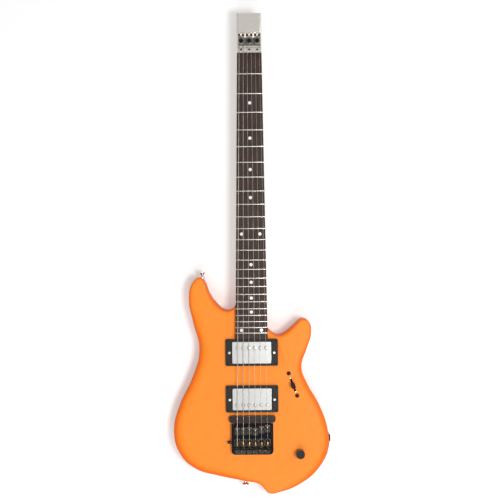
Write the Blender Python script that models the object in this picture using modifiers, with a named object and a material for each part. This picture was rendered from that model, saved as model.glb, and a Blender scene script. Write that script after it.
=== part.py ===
"""A headless six-string MIDI guitar, lying on its flat back with its strings up.

Metres, +Z up, +Y from the bridge towards the headpiece, +X towards the treble side.
The origin is on the flat back, on the centreline, under the end of the scale length.
"""

import math

import bmesh
import bpy
from mathutils import Matrix, Vector

# Clearances
GAP = 0.0003
FLUSH_SINK = 0.0003

# Body
BODY_THICKNESS = 0.044
CONTOUR_WIDTH = 0.020
CONTOUR_DROP = 0.0075
BACK_ROUND = 0.0035
OUTLINE_STEPS = 5
BODY_OUTLINE = [
    (-0.0890, 0.2586), (-0.1025, 0.2493), (-0.1090, 0.2210), (-0.1023, 0.1820),
    (-0.0913, 0.1310), (-0.1050, 0.0815), (-0.1275, 0.0340), (-0.1372, -0.0100),
    (-0.1273, -0.0485), (-0.1010, -0.0750), (-0.0600, -0.0880), (-0.0100, -0.0980),
    (0.0115, -0.1023), (0.0210, -0.1118), (0.0280, -0.1185), (0.0487, -0.1162),
    (0.0840, -0.1026), (0.1150, -0.0770), (0.1320, -0.0420), (0.1323, -0.0130),
    (0.1196, 0.0290), (0.0975, 0.0690), (0.0866, 0.1010), (0.0960, 0.1330),
    (0.1038, 0.1600), (0.1003, 0.1795), (0.0890, 0.1849), (0.0750, 0.1746),
    (0.0600, 0.1620), (0.0460, 0.1564), (0.0334, 0.1628), (0.0240, 0.1760),
    (0.0020, 0.2000), (-0.0220, 0.2140), (-0.0340, 0.2022), (-0.0460, 0.2010),
    (-0.0600, 0.2118), (-0.0740, 0.2320), (-0.0805, 0.2490),
]
# Where the carved edge narrows: x, y, how far it reaches, its width there
TIGHT_EDGES = [
    (-0.0890, 0.2586, 0.120, 0.006),
    (0.0950, 0.1810, 0.100, 0.006),
    (0.0280, -0.1185, 0.090, 0.005),
    (-0.0220, 0.2140, 0.080, 0.003),
    (0.0240, 0.1700, 0.080, 0.003),
]

# Neck and fingerboard
SCALE_LENGTH = 0.6477
FRET_COUNT = 24
BOARD_TAIL = 0.0106
NUT_HALF_WIDTH = 0.0214
BOARD_END_HALF_WIDTH = 0.0279
BOARD_THICKNESS = 0.006
BOARD_RADIUS = 0.305
BOARD_RISE = 0.0095
FRET_WIDTH = 0.0024
FRET_HEIGHT = 0.0011
POCKET_DEPTH = 0.016
HEEL_LENGTH = 0.0624
HEEL_RUNOUT = 0.034
SHAFT_DEPTH_AT_HEEL = 0.0155
SHAFT_DEPTH_AT_NUT = 0.0135
TRUSS_ROD_WIDTH = 0.0056
TRUSS_ROD_DEPTH = 0.0080
TRUSS_ROD_MARGIN = 0.030

# Neck screws: x, and distance from the board's end
NECK_SCREWS = [(-0.018, 0.0465), (-0.018, 0.0115), (0.018, 0.0115), (0.013, 0.0275)]
NECK_SCREW_HEAD_RADIUS = 0.0046
NECK_SCREW_HEAD_HEIGHT = 0.0026
NECK_SCREW_RADIUS = 0.0022
NECK_SCREW_BITE = 0.013

# Headpiece
HEAD_LENGTH = 0.0691
HEAD_SEAT_DROP = 0.0027
NUT_LEDGE_LENGTH = 0.0078
CLAMP_FLOOR_DROP = 0.0040
COVER_PLATE_START = 0.0348
COVER_PLATE_DROP = 0.0
HEAD_RAIL_WIDTH = 0.0024
HEAD_RAIL_START = 0.0062
HEAD_CHAMFER = 0.0030
STRING_HOLE_OFFSET = 0.0313
STRING_HOLE_RADIUS = 0.0016
CLAMP_OFFSET = 0.0205
CLAMP_PAD_LENGTH = 0.0122
CLAMP_PAD_SPACING = 0.0012
CLAMP_PAD_HEIGHT = 0.0034
CLAMP_HEAD_RADIUS = 0.0038
CLAMP_HEAD_HEIGHT = 0.0026
CLAMP_SOCKET_RADIUS = 0.0018
CLAMP_SOCKET_DEPTH = 0.0016
CLAMP_SHANK_RADIUS = 0.0014

# Strings
STRING_DIAMETERS = [0.00117, 0.00091, 0.00066, 0.00043, 0.00033, 0.00025]
NUT_PITCH = 0.007
BRIDGE_PITCH = 0.0105
STRING_RISE_AT_NUT = 0.0015
STRING_RISE_AT_BRIDGE = 0.0037
SADDLE_SETBACKS = [0.0060, 0.0055, 0.0048, 0.0064, 0.0032, 0.0014]

# Pickups: a ring, a cover and the coils each
RING_HALF_WIDTH = 0.0455
RING_LENGTH = 0.0466
RING_HEIGHT = 0.0048
RING_CORNER = 0.0030
PICKUP_COVER_WIDTH = 0.0676
PICKUP_COVER_LENGTH = 0.0374
PICKUP_COVER_WALL = 0.0008
PICKUP_COVER_CORNER = 0.0020
PICKUP_COVER_RISE = 0.0090
PICKUP_CAVITY_WIDTH = 0.0846
PICKUP_CAVITY_LENGTH = PICKUP_COVER_LENGTH + 0.0034
PICKUP_CAVITY_DEPTH = 0.012
PICKUP_PLATE_WIDTH = 0.0820
PICKUP_PLATE_THICKNESS = 0.0015
PICKUP_FIT = 0.0006
BRIDGE_RING_TOP = 0.0702
WIRE_BORE_RADIUS = 0.0028

# Divided pickup bar in front of the bridge
BAR_LENGTH = 0.0805
BAR_WIDTH = 0.0114
BAR_CENTRE_Y = 0.0121
BAR_ROUT_DEPTH = 0.008
BAR_RISE = 0.0088

# Bridge
BRIDGE_HALF_WIDTH = 0.0365
BRIDGE_FRONT = 0.0050
BRIDGE_BACK = -0.0493
BRIDGE_CORNER = 0.0075
BRIDGE_HEIGHT = 0.0090
BRIDGE_FLOOR = 0.0024
BRIDGE_SIDE_WALL = 0.0042
BEARING_WALL_FRONT = -0.0385
BEARING_WALL_THICKNESS = 0.0020
WHEEL_WELL_BACK = -0.0478
WHEEL_WELL_FLOOR = 0.0016
SADDLE_WIDTH = 0.0092
SADDLE_NOSE = 0.0035
SADDLE_TAIL = 0.0095
SADDLE_CREST = 0.0012
SADDLE_NOSE_DROP = 0.0022
SADDLE_TAIL_DROP = 0.0045
CARRIAGE_WIDTH = 0.0092
CARRIAGE_FRONT = -0.0220
CARRIAGE_LENGTH = 0.0120
CARRIAGE_HEIGHT = 0.0096
CARRIAGE_SLOT = 0.0024
BALL_POCKET_FRONT = 0.0045
BALL_POCKET_LENGTH = 0.0062
BALL_POCKET_WIDTH = 0.0050
BALL_POCKET_DEPTH = 0.0036
STUD_RADIUS = 0.0015
STUD_HEIGHT = 0.0044
STUD_LENGTH = 0.0170
WHEEL_RADIUS = 0.0046
WHEEL_LENGTH = 0.0062
STRING_END_SETBACK = 0.0065
STRING_END_DROP = 0.0010
SIDE_SCREW_Y = -0.0276
SIDE_SCREW_HEAD_RADIUS = 0.0027
SIDE_SCREW_HEAD_LENGTH = 0.0058
SIDE_SCREW_RADIUS = 0.0014

# Control cavity, open at the back
CAVITY_TOP_WALL = 0.0080
CAVITY_CORNER = 0.0070
CAVITY_OUTLINE = [
    (0.053, 0.101), (0.071, 0.101), (0.092, 0.062), (0.106, 0.030), (0.114, 0.000),
    (0.115, -0.040), (0.110, -0.066), (0.092, -0.077), (0.060, -0.077), (0.053, -0.060),
]
COVER_LEDGE = 0.0040
COVER_THICKNESS = 0.0021

# Selector switch
SELECTOR_X = 0.0714
SELECTOR_Y = 0.0701
SELECTOR_LEAN_DEG = 20.3
SELECTOR_TILT_DEG = 13.0
SWITCH_LENGTH = 0.0500
SWITCH_WIDTH = 0.0120
SWITCH_HEIGHT = 0.0190
LEVER_THICKNESS = 0.0024
LEVER_HALF_WIDTH = 0.0025
LEVER_PIVOT_DEPTH = 0.0200
LEVER_RISE = 0.0095
LEVER_HUB_RADIUS = 0.0045
LEVER_PIN_RADIUS = 0.0012
SLOT_CLEARANCE = 0.0005
LEVER_SLOT_LENGTH = 0.0245
TIP_LENGTH = 0.0113
TIP_WIDTH = 0.0072
TIP_HEIGHT = 0.0060

# Volume control
VOLUME_X = 0.0830
VOLUME_Y = -0.0485
KNOB_RADIUS = 0.0076
KNOB_HEIGHT = 0.0165
KNOB_LIFT = 0.0006
KNOB_EDGE = 0.0012
KNOB_RECESS_RADIUS = 0.0060
KNOB_RECESS_DEPTH = 0.0040
SHAFT_RADIUS = 0.0030
SHAFT_FIT = 0.0003
BUSHING_RADIUS = 0.0042
BUSHING_RISE = 0.0030
POT_RADIUS = 0.0082
POT_HEIGHT = 0.0080
POT_NUT_RADIUS = 0.0054
POT_NUT_HEIGHT = 0.0020

# Side plate with the output jack, the USB socket and the power button
SIDE_MID_HEIGHT = 0.0220
PLATE_TOP_Y = -0.0165
PLATE_BOTTOM_Y = -0.0620
PLATE_HEIGHT = 0.0168
PLATE_PROUD = 0.0013
PLATE_SUNK = 0.0012
WINDOW_MARGIN = 0.0045
JACK_Y = -0.0257
JACK_BARREL_RADIUS = 0.0056
JACK_BUSHING_RADIUS = 0.0046
JACK_LENGTH = 0.0300
JACK_SOCKET_RADIUS = 0.00335
JACK_SOCKET_DEPTH = 0.0285
JACK_NUT_RADIUS = 0.0062
JACK_NUT_THICKNESS = 0.0014
USB_Y = -0.0395
USB_WIDTH = 0.0090
USB_HEIGHT = 0.0032
USB_DEPTH = 0.0075
BUTTON_Y = -0.0520
BUTTON_RADIUS = 0.0024
BUTTON_PROUD = 0.0011
BUTTON_FLANGE_RADIUS = 0.0031
BUTTON_FLANGE = 0.0008
BUTTON_TRAVEL = 0.0008

# Electronics in the cavity
BOARD_LEFT = 0.0640
BOARD_RIGHT = 0.1050
BOARD_LOW_Y = -0.0645
BOARD_HIGH_Y = -0.0345
CIRCUIT_THICKNESS = 0.0016
POST_RADIUS = 0.0022
POST_INSET = 0.0032
BATTERY_X = 0.0800
BATTERY_Y = 0.0060
BATTERY_WIDTH = 0.0340
BATTERY_LENGTH = 0.0520
BATTERY_THICKNESS = 0.0065

# Strap buttons
STRAP_UPPER = (-0.0864, 0.2575)
STRAP_LOWER = (-0.0128, -0.0972)
STRAP_BASE_RADIUS = 0.0055
STRAP_STEM_RADIUS = 0.0034
STRAP_FLANGE_RADIUS = 0.0062
STRAP_BUTTON_LENGTH = 0.0098
STRAP_FLANGE_THICKNESS = 0.0022
STRAP_SHANK_RADIUS = 0.0016
STRAP_SHANK_LENGTH = 0.0170
STRAP_SEAT_DEPTH = 0.0012

# Worked-out levels
BODY_TOP = BODY_THICKNESS
BOARD_TOP = BODY_TOP + BOARD_RISE
NECK_TOP = BOARD_TOP - BOARD_THICKNESS - GAP
POCKET_FLOOR = BODY_TOP - POCKET_DEPTH
BOARD_END = SCALE_LENGTH * 2 ** (-FRET_COUNT / 12) - BOARD_TAIL
HEEL_END = BOARD_END + HEEL_LENGTH
HEAD_END = SCALE_LENGTH + HEAD_LENGTH
HEAD_SEAT = NECK_TOP - HEAD_SEAT_DROP
CAVITY_CEILING = BODY_TOP - CAVITY_TOP_WALL
RING_BOTTOM = BODY_TOP + GAP
BRIDGE_BASE_Z = BODY_TOP + GAP
TRAY_FLOOR = BRIDGE_BASE_Z + BRIDGE_FLOOR
STUD_Z = TRAY_FLOOR + STUD_HEIGHT
NUT_STRING_Z = BOARD_TOP + STRING_RISE_AT_NUT
BRIDGE_STRING_Z = BOARD_TOP + STRING_RISE_AT_BRIDGE
CLAMP_FLOOR = BOARD_TOP - CLAMP_FLOOR_DROP

for old in list(bpy.data.objects):
    bpy.data.objects.remove(old)
guitar = bpy.data.collections.new("midi_guitar")
helpers = bpy.data.collections.new("cutters")
bpy.context.scene.collection.children.link(guitar)
bpy.context.scene.collection.children.link(helpers)


def colour(name, rgb, roughness, metallic=0.0):
    material = bpy.data.materials.new(name)
    material.use_nodes = True
    shader = material.node_tree.nodes["Principled BSDF"]
    shader.inputs["Base Color"].default_value = (*rgb, 1)
    shader.inputs["Roughness"].default_value = roughness
    shader.inputs["Metallic"].default_value = metallic
    return material


LACQUER = colour("orange_lacquer", (0.97, 0.31, 0.035), 0.35)
MAPLE = colour("neck_maple", (0.62, 0.43, 0.22), 0.45)
ROSEWOOD = colour("rosewood", (0.055, 0.038, 0.030), 0.55)
NICKEL = colour("satin_nickel", (0.62, 0.60, 0.57), 0.28, 1)
STEEL = colour("string_steel", (0.60, 0.58, 0.55), 0.30, 1)
BLACK_METAL = colour("black_nickel", (0.018, 0.018, 0.020), 0.30, 1)
BLACK_PLASTIC = colour("black_plastic", (0.022, 0.022, 0.024), 0.40)
SOLDER_MASK = colour("solder_mask", (0.02, 0.10, 0.05), 0.45)
SILVER_WRAP = colour("battery_wrap", (0.30, 0.32, 0.35), 0.40)
CHROME = colour("chrome", (0.70, 0.70, 0.71), 0.12, 1)


def place(obj, material=None, origin=None):
    """Puts the piece in the guitar's collection, with its origin moved to a point."""
    if origin is not None:
        shift = Vector(origin)
        obj.data.transform(Matrix.Translation(-shift))
        obj.location = shift
    if material is not None:
        obj.data.materials.append(material)
        obj.data.shade_smooth()
        obj.data.set_sharp_from_angle(angle=math.radians(35))
        guitar.objects.link(obj)
    return obj


def from_bmesh(name, bm):
    mesh = bpy.data.meshes.new(name)
    bm.to_mesh(mesh)
    bm.free()
    return bpy.data.objects.new(name, mesh)


def block(name, low, high):
    """A box between two corners."""
    low, high = Vector(low), Vector(high)
    size = Matrix.Diagonal((*(high - low), 1))
    bm = bmesh.new()
    bmesh.ops.create_cube(bm, size=1, matrix=Matrix.Translation((low + high) / 2) @ size)
    return from_bmesh(name, bm)


def rod(name, start, end, radius, sides=16):
    """A cylinder from one point to another."""
    start, end = Vector(start), Vector(end)
    turn = (end - start).to_track_quat("Z", "Y").to_matrix().to_4x4()
    spot = Matrix.Translation((start + end) / 2) @ turn
    bm = bmesh.new()
    bmesh.ops.create_cone(
        bm, cap_ends=True, segments=sides, radius1=radius, radius2=radius,
        depth=(end - start).length, matrix=spot,
    )
    return from_bmesh(name, bm)


def turned(name, profile, base, direction, sides=24):
    """A profile of (radius, height) spun round its axis, from the top down its outer side."""
    mesh = bpy.data.meshes.new(name)
    edges = [(i, i + 1) for i in range(len(profile) - 1)]
    mesh.from_pydata([(radius, 0, height) for radius, height in profile], edges, [])
    obj = bpy.data.objects.new(name, mesh)
    obj.location = base
    obj.rotation_mode = "QUATERNION"
    obj.rotation_quaternion = Vector(direction).to_track_quat("Z", "Y")
    screw = obj.modifiers.new("turn", "SCREW")
    screw.steps = screw.render_steps = sides
    screw.use_merge_vertices = True
    screw.merge_threshold = 0.00001
    return obj


def welded(obj):
    """The mesh that a curve makes, with its caps joined to its sides."""
    bpy.context.scene.collection.objects.link(obj)
    graph = bpy.context.evaluated_depsgraph_get()
    mesh = bpy.data.meshes.new_from_object(obj.evaluated_get(graph))
    bm = bmesh.new()
    bm.from_mesh(mesh)
    bmesh.ops.remove_doubles(bm, verts=bm.verts, dist=0.00001)
    bm.to_mesh(mesh)
    bm.free()
    solid = bpy.data.objects.new(obj.name + "_mesh", mesh)
    solid.matrix_world = obj.matrix_world
    name = obj.name
    bpy.data.objects.remove(obj)
    solid.name = name
    return solid


def slab(name, outlines, low, high):
    """Flat outlines filled between two heights; an outline inside another is a hole."""
    curve = bpy.data.curves.new(name, "CURVE")
    curve.dimensions = "2D"
    curve.fill_mode = "BOTH"
    curve.extrude = (high - low) / 2
    for outline in outlines:
        spline = curve.splines.new("POLY")
        spline.points.add(len(outline) - 1)
        spline.use_cyclic_u = True
        for point, (x, y) in zip(spline.points, outline):
            point.co = (x, y, 0, 1)
    solid = welded(bpy.data.objects.new(name, curve))
    solid.data.transform(Matrix.Translation((0, 0, (low + high) / 2)))
    return solid


def side_slab(name, outline, low_x, high_x):
    """An outline of (y, z) filled from one x to another."""
    solid = slab(name, [outline], low_x, high_x)
    turn = Matrix(((0, 0, 1, 0), (1, 0, 0, 0), (0, 1, 0, 0), (0, 0, 0, 1)))
    solid.data.transform(turn)
    return solid


def loft(name, sections):
    """Closed sections of equal count joined into a solid, with flat ends."""
    bm = bmesh.new()
    rings = [[bm.verts.new(point) for point in section] for section in sections]
    count = len(rings[0])
    for near, far in zip(rings, rings[1:]):
        for i in range(count):
            j = (i + 1) % count
            bm.faces.new((near[i], near[j], far[j], far[i]))
    bm.faces.new(rings[0])
    bm.faces.new(rings[-1])
    bmesh.ops.recalc_face_normals(bm, faces=bm.faces)
    return from_bmesh(name, bm)


def rounded(corners, radius, steps=4):
    """A polygon with each corner replaced by a curve of about this radius."""
    outline = []
    count = len(corners)
    for i in range(count):
        corner = Vector(corners[i])
        before = Vector(corners[i - 1]) - corner
        after = Vector(corners[(i + 1) % count]) - corner
        reach = min(radius, before.length * 0.45, after.length * 0.45)
        start = corner + before.normalized() * reach
        end = corner + after.normalized() * reach
        for k in range(steps + 1):
            t = k / steps
            outline.append(start * (1 - t) ** 2 + corner * 2 * t * (1 - t) + end * t * t)
    return [(point.x, point.y) for point in outline]


def box_corners(half_x, low_y, high_y, centre_x=0.0):
    return [
        (centre_x - half_x, low_y), (centre_x + half_x, low_y),
        (centre_x + half_x, high_y), (centre_x - half_x, high_y),
    ]


def grown(corners, distance):
    """The polygon with every side moved outwards by a distance."""
    count = len(corners)
    area = sum(
        corners[i][0] * corners[(i + 1) % count][1] - corners[(i + 1) % count][0] * corners[i][1]
        for i in range(count)
    )
    sign = 1 if area > 0 else -1
    result = []
    for i in range(count):
        here = Vector(corners[i])
        incoming = (here - Vector(corners[i - 1])).normalized()
        outgoing = (Vector(corners[(i + 1) % count]) - here).normalized()
        first = Vector((incoming.y, -incoming.x)) * sign
        second = Vector((outgoing.y, -outgoing.x)) * sign
        middle = (first + second).normalized()
        result.append(tuple(here + middle * distance / middle.dot(first)))
    return result


def as_helper(obj):
    if obj.name not in helpers.objects:
        helpers.objects.link(obj)
    obj.hide_render = True
    obj.display_type = "WIRE"


def combine(obj, operation, others):
    for other in others:
        as_helper(other)
        boolean = obj.modifiers.new(other.name, "BOOLEAN")
        boolean.operation = operation
        boolean.solver = "EXACT"
        boolean.object = other


def cut(obj, *cutters):
    combine(obj, "DIFFERENCE", cutters)


def join(obj, *others):
    combine(obj, "UNION", others)


def soften(obj, width, segments=2):
    bevel = obj.modifiers.new("rounded_edges", "BEVEL")
    bevel.width = width
    bevel.segments = segments
    bevel.limit_method = "ANGLE"
    bevel.angle_limit = math.radians(50)
    bevel.harden_normals = False


def board_half_width(y):
    share = (y - BOARD_END) / (SCALE_LENGTH - BOARD_END)
    return BOARD_END_HALF_WIDTH + (NUT_HALF_WIDTH - BOARD_END_HALF_WIDTH) * share


def crown(x):
    """How far the fingerboard's surface falls away from its middle."""
    return BOARD_RADIUS - math.sqrt(BOARD_RADIUS ** 2 - x * x)


def crowned_sections(half, y, bottom, top, steps=6):
    arc = []
    for k in range(steps + 1):
        x = half - 2 * half * k / steps
        arc.append((x, y, top - crown(x)))
    return [(-half, y, bottom), (half, y, bottom)] + arc


def body_edge():
    """The body's outline as points, counter-clockwise or not as drawn, and its outward normals."""
    curve = bpy.data.curves.new("body_edge", "CURVE")
    curve.dimensions = "2D"
    curve.fill_mode = "NONE"
    curve.resolution_u = OUTLINE_STEPS
    spline = curve.splines.new("BEZIER")
    spline.bezier_points.add(len(BODY_OUTLINE) - 1)
    spline.use_cyclic_u = True
    for knot, (x, y) in zip(spline.bezier_points, BODY_OUTLINE):
        knot.co = (x, y, 0)
        knot.handle_left_type = knot.handle_right_type = "AUTO"
    guide = bpy.data.objects.new("body_edge", curve)
    bpy.context.scene.collection.objects.link(guide)
    graph = bpy.context.evaluated_depsgraph_get()
    mesh = bpy.data.meshes.new_from_object(guide.evaluated_get(graph))
    points = [vertex.co.to_2d() for vertex in mesh.vertices]
    bpy.data.objects.remove(guide)
    area = sum(points[i - 1].cross(points[i]) for i in range(len(points)))
    if area < 0:
        points.reverse()
    normals = []
    for i, point in enumerate(points):
        along = points[(i + 1) % len(points)] - points[i - 1]
        normals.append(Vector((along.y, -along.x)).normalized())
    return points, normals


EDGE_POINTS, EDGE_NORMALS = body_edge()


def treble_edge(y):
    """The point of the body's treble side at this y, and its outward normal."""
    count = len(EDGE_POINTS)
    for i in range(count):
        a, b = EDGE_POINTS[i], EDGE_POINTS[(i + 1) % count]
        if a.x > BRIDGE_HALF_WIDTH and a.y <= y < b.y and min(a.x, b.x) > CAVITY_OUTLINE[0][0]:
            share = (y - a.y) / (b.y - a.y)
            normal = EDGE_NORMALS[i].lerp(EDGE_NORMALS[(i + 1) % count], share).normalized()
            return a.lerp(b, share), normal
    raise ValueError("no body edge at this y")


def contour_width(point):
    """The width of the carved front edge at a point of the outline."""
    width = CONTOUR_WIDTH
    for x, y, reach, least in TIGHT_EDGES:
        share = min(1.0, (point - Vector((x, y))).length / reach)
        smooth = share * share * (3 - 2 * share)
        width = min(width, least + (CONTOUR_WIDTH - least) * smooth)
    return width


def body_blank(name):
    """The carved slab of the body before any rout."""
    front_steps, back_steps = 4, 2
    sections = []
    for k in range(back_steps + 1):
        angle = k / back_steps * math.pi / 2
        inset = BACK_ROUND * (1 - math.sin(angle))
        height = BACK_ROUND * (1 - math.cos(angle))
        sections.append([
            (*(p - n * inset), height) for p, n in zip(EDGE_POINTS, EDGE_NORMALS)
        ])
    for k in range(front_steps, -1, -1):
        angle = k / front_steps * math.pi / 2
        ring = []
        for p, n in zip(EDGE_POINTS, EDGE_NORMALS):
            width = contour_width(p)
            drop = CONTOUR_DROP * width / CONTOUR_WIDTH
            spot = p - n * width * (1 - math.sin(angle))
            ring.append((*spot, BODY_TOP - drop * (1 - math.cos(angle))))
        sections.append(ring)
    return loft(name, sections)


def heel_outline(margin):
    """The neck heel seen from above, with a margin all round, running past the body's edge."""
    near, far = BOARD_END - margin, HEEL_END + HEEL_RUNOUT
    near_half = board_half_width(BOARD_END) + margin
    far_half = board_half_width(far) + margin
    return [(-near_half, near), (near_half, near), (far_half, far), (-far_half, far)]


def neck_screw_spots():
    return [(x, BOARD_END + offset) for x, offset in NECK_SCREWS]


def bridge_string_x(i):
    return (i - 2.5) * BRIDGE_PITCH


def nut_string_x(i):
    return (i - 2.5) * NUT_PITCH


def witness_z(i):
    return BRIDGE_STRING_Z - crown(bridge_string_x(i))


def carriage_end_z():
    """The height of every string where it ends, in its ball pocket."""
    return TRAY_FLOOR + GAP + CARRIAGE_HEIGHT - BALL_POCKET_DEPTH / 2 + STRING_END_DROP


def selector_turn():
    spot = Matrix.Translation((SELECTOR_X, SELECTOR_Y, 0))
    return spot @ Matrix.Rotation(math.radians(SELECTOR_LEAN_DEG), 4, "Z")


def leaning(obj):
    """Turns a piece made about the origin to the selector's place and lean."""
    obj.data.transform(selector_turn())
    return obj


def make_body():
    body = place(body_blank("body"), LACQUER)
    cutters = [slab("neck_pocket", [heel_outline(GAP)], POCKET_FLOOR, BODY_TOP + 0.01)]
    for label, middle in (("neck", neck_ring_middle()), ("bridge", bridge_ring_middle())):
        half_x, half_y = PICKUP_CAVITY_WIDTH / 2, PICKUP_CAVITY_LENGTH / 2
        cutters.append(block(
            label + "_pickup_rout",
            (-half_x, middle - half_y, BODY_TOP - PICKUP_CAVITY_DEPTH),
            (half_x, middle + half_y, BODY_TOP + 0.01),
        ))
    cutters.append(slab("bar_rout", [bar_outline(GAP)], BODY_TOP - BAR_ROUT_DEPTH, BODY_TOP + 0.01))
    wire_z = BODY_TOP - PICKUP_CAVITY_DEPTH + WIRE_BORE_RADIUS + 0.0015
    cutters.append(rod(
        "wire_bore_long", (0.006, neck_ring_middle(), wire_z), (0.006, BAR_CENTRE_Y, wire_z),
        WIRE_BORE_RADIUS, 12,
    ))
    cutters.append(rod(
        "wire_bore_across", (0.03, bridge_ring_middle(), wire_z),
        (CAVITY_OUTLINE[0][0] + 0.01, bridge_ring_middle(), wire_z), WIRE_BORE_RADIUS, 12,
    ))
    cutters.append(slab(
        "control_cavity", [rounded(CAVITY_OUTLINE, CAVITY_CORNER)], -0.01, CAVITY_CEILING,
    ))
    recess = rounded(grown(CAVITY_OUTLINE, COVER_LEDGE + GAP), CAVITY_CORNER + COVER_LEDGE)
    cutters.append(slab("cover_recess", [recess], -0.01, FLUSH_SINK + COVER_THICKNESS + GAP))
    plate_top = SIDE_MID_HEIGHT + PLATE_HEIGHT / 2
    plate_bottom = SIDE_MID_HEIGHT - PLATE_HEIGHT / 2
    window_x = CAVITY_OUTLINE[5][0] - CAVITY_CORNER * 2
    cutters.append(block(
        "side_window",
        (window_x, PLATE_BOTTOM_Y + WINDOW_MARGIN, plate_bottom + COVER_THICKNESS),
        (0.16, PLATE_TOP_Y - COVER_THICKNESS / 2, plate_top - COVER_THICKNESS),
    ))
    cutters.append(slab(
        "plate_recess", [plate_outline(PLATE_SUNK + GAP, 0.004, GAP)],
        plate_bottom - GAP, plate_top + GAP,
    ))
    slot_half = LEVER_SLOT_LENGTH / 2
    slot_wide = LEVER_THICKNESS / 2 + SLOT_CLEARANCE
    cutters.append(leaning(block(
        "selector_slot", (-slot_wide, -slot_half, CAVITY_CEILING - 0.002),
        (slot_wide, slot_half, BODY_TOP + 0.01),
    )))
    cutters.append(rod(
        "volume_hole", (VOLUME_X, VOLUME_Y, CAVITY_CEILING - 0.002),
        (VOLUME_X, VOLUME_Y, BODY_TOP + 0.01), BUSHING_RADIUS + GAP, 24,
    ))
    for i, (x, y) in enumerate(neck_screw_spots(), 1):
        cutters.append(rod(
            f"neck_screw_bore_{i}", (x, y, -0.01), (x, y, POCKET_FLOOR + 0.01),
            NECK_SCREW_RADIUS + GAP, 12,
        ))
        cutters.append(rod(
            f"neck_screw_seat_{i}", (x, y, -0.01),
            (x, y, FLUSH_SINK + NECK_SCREW_HEAD_HEIGHT + GAP),
            NECK_SCREW_HEAD_RADIUS + GAP, 16,
        ))
    for label, spot, way in strap_spots():
        seat = Vector(spot)
        out = Vector(way)
        deep = STRAP_SEAT_DEPTH + GAP
        cutters.append(rod(
            label + "_seat", seat - out * deep, seat + out * 0.02, STRAP_BASE_RADIUS + GAP, 16,
        ))
        cutters.append(rod(
            label + "_bore", seat - out * (STRAP_SEAT_DEPTH + STRAP_SHANK_LENGTH + GAP), seat,
            STRAP_SHANK_RADIUS + GAP, 12,
        ))
    cut(body, *cutters)


def neck_ring_middle():
    return BOARD_END - GAP - RING_LENGTH / 2


def bridge_ring_middle():
    return BRIDGE_RING_TOP - RING_LENGTH / 2


def bar_outline(margin):
    half_y = BAR_WIDTH / 2 + margin
    corners = box_corners(BAR_LENGTH / 2 + margin, BAR_CENTRE_Y - half_y, BAR_CENTRE_Y + half_y)
    return rounded(corners, half_y, 5)


def plate_outline(inwards, outwards, lengthwise):
    """A strip that follows the body's treble side, this far inside it and outside it."""
    steps = 8
    low = PLATE_BOTTOM_Y - lengthwise
    high = PLATE_TOP_Y + lengthwise
    inner, outer = [], []
    for k in range(steps + 1):
        point, normal = treble_edge(low + (high - low) * k / steps)
        inner.append(tuple(point - normal * inwards))
        outer.append(tuple(point + normal * outwards))
    return inner + outer[::-1]


def strap_spots():
    middle = BODY_THICKNESS / 2
    return [
        ("strap_button_upper", (*STRAP_UPPER, middle), (0, 1, 0)),
        ("strap_button_lower", (*STRAP_LOWER, middle), (0, -1, 0)),
    ]


def neck_section(y, half, top, depth, squareness, steps=14):
    """A flat-topped section whose back is a superellipse."""
    section = []
    for k in range(steps + 1):
        angle = math.pi * k / steps
        c, s = math.cos(angle), math.sin(angle)
        x = math.copysign(abs(c) ** (2 / squareness), c) * half
        z = top - max(0.0, s) ** (2 / squareness) * depth
        section.append((x, y, z))
    return section


def make_neck():
    heel_depth = NECK_TOP - POCKET_FLOOR - GAP
    head_depth = SHAFT_DEPTH_AT_NUT - HEAD_SEAT_DROP
    shaft_start = HEEL_END + HEEL_RUNOUT
    sections = [neck_section(BOARD_END, board_half_width(BOARD_END), NECK_TOP, heel_depth, 16)]
    sections.append(neck_section(HEEL_END, board_half_width(HEEL_END), NECK_TOP, heel_depth, 14))
    for share in (0.3, 0.65):
        y = HEEL_END + HEEL_RUNOUT * share
        smooth = share * share * (3 - 2 * share)
        depth = heel_depth + (SHAFT_DEPTH_AT_HEEL - heel_depth) * smooth
        sections.append(neck_section(y, board_half_width(y), NECK_TOP, depth, 6 - 3.6 * smooth))
    for k in range(5):
        y = shaft_start + (SCALE_LENGTH - 2 * GAP - shaft_start) * k / 4
        depth = SHAFT_DEPTH_AT_HEEL + (SHAFT_DEPTH_AT_NUT - SHAFT_DEPTH_AT_HEEL) * k / 4
        sections.append(neck_section(y, board_half_width(y), NECK_TOP, depth, 2.3))
    head_half = NUT_HALF_WIDTH - GAP
    sections.append(neck_section(SCALE_LENGTH - GAP, head_half, HEAD_SEAT, head_depth, 2.4))
    sections.append(neck_section(HEAD_END - 2 * GAP, head_half, HEAD_SEAT, head_depth, 3.2))
    neck = place(loft("neck", sections), MAPLE)
    half = TRUSS_ROD_WIDTH / 2 + GAP
    channel = block(
        "truss_channel",
        (-half, HEEL_END - TRUSS_ROD_MARGIN - GAP, NECK_TOP - TRUSS_ROD_DEPTH - 2 * GAP),
        (half, SCALE_LENGTH - TRUSS_ROD_MARGIN + GAP, NECK_TOP + 0.005),
    )
    bores = [
        rod(
            f"heel_bore_{i}", (x, y, POCKET_FLOOR - 0.002),
            (x, y, POCKET_FLOOR + NECK_SCREW_BITE + GAP), NECK_SCREW_RADIUS + GAP, 12,
        )
        for i, (x, y) in enumerate(neck_screw_spots(), 1)
    ]
    cut(neck, channel, *bores)


def make_truss_rod():
    half = TRUSS_ROD_WIDTH / 2
    truss = place(block(
        "truss_rod",
        (-half, HEEL_END - TRUSS_ROD_MARGIN, NECK_TOP - TRUSS_ROD_DEPTH - GAP),
        (half, SCALE_LENGTH - TRUSS_ROD_MARGIN, NECK_TOP - GAP),
    ), STEEL)
    soften(truss, 0.001, 1)


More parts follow.
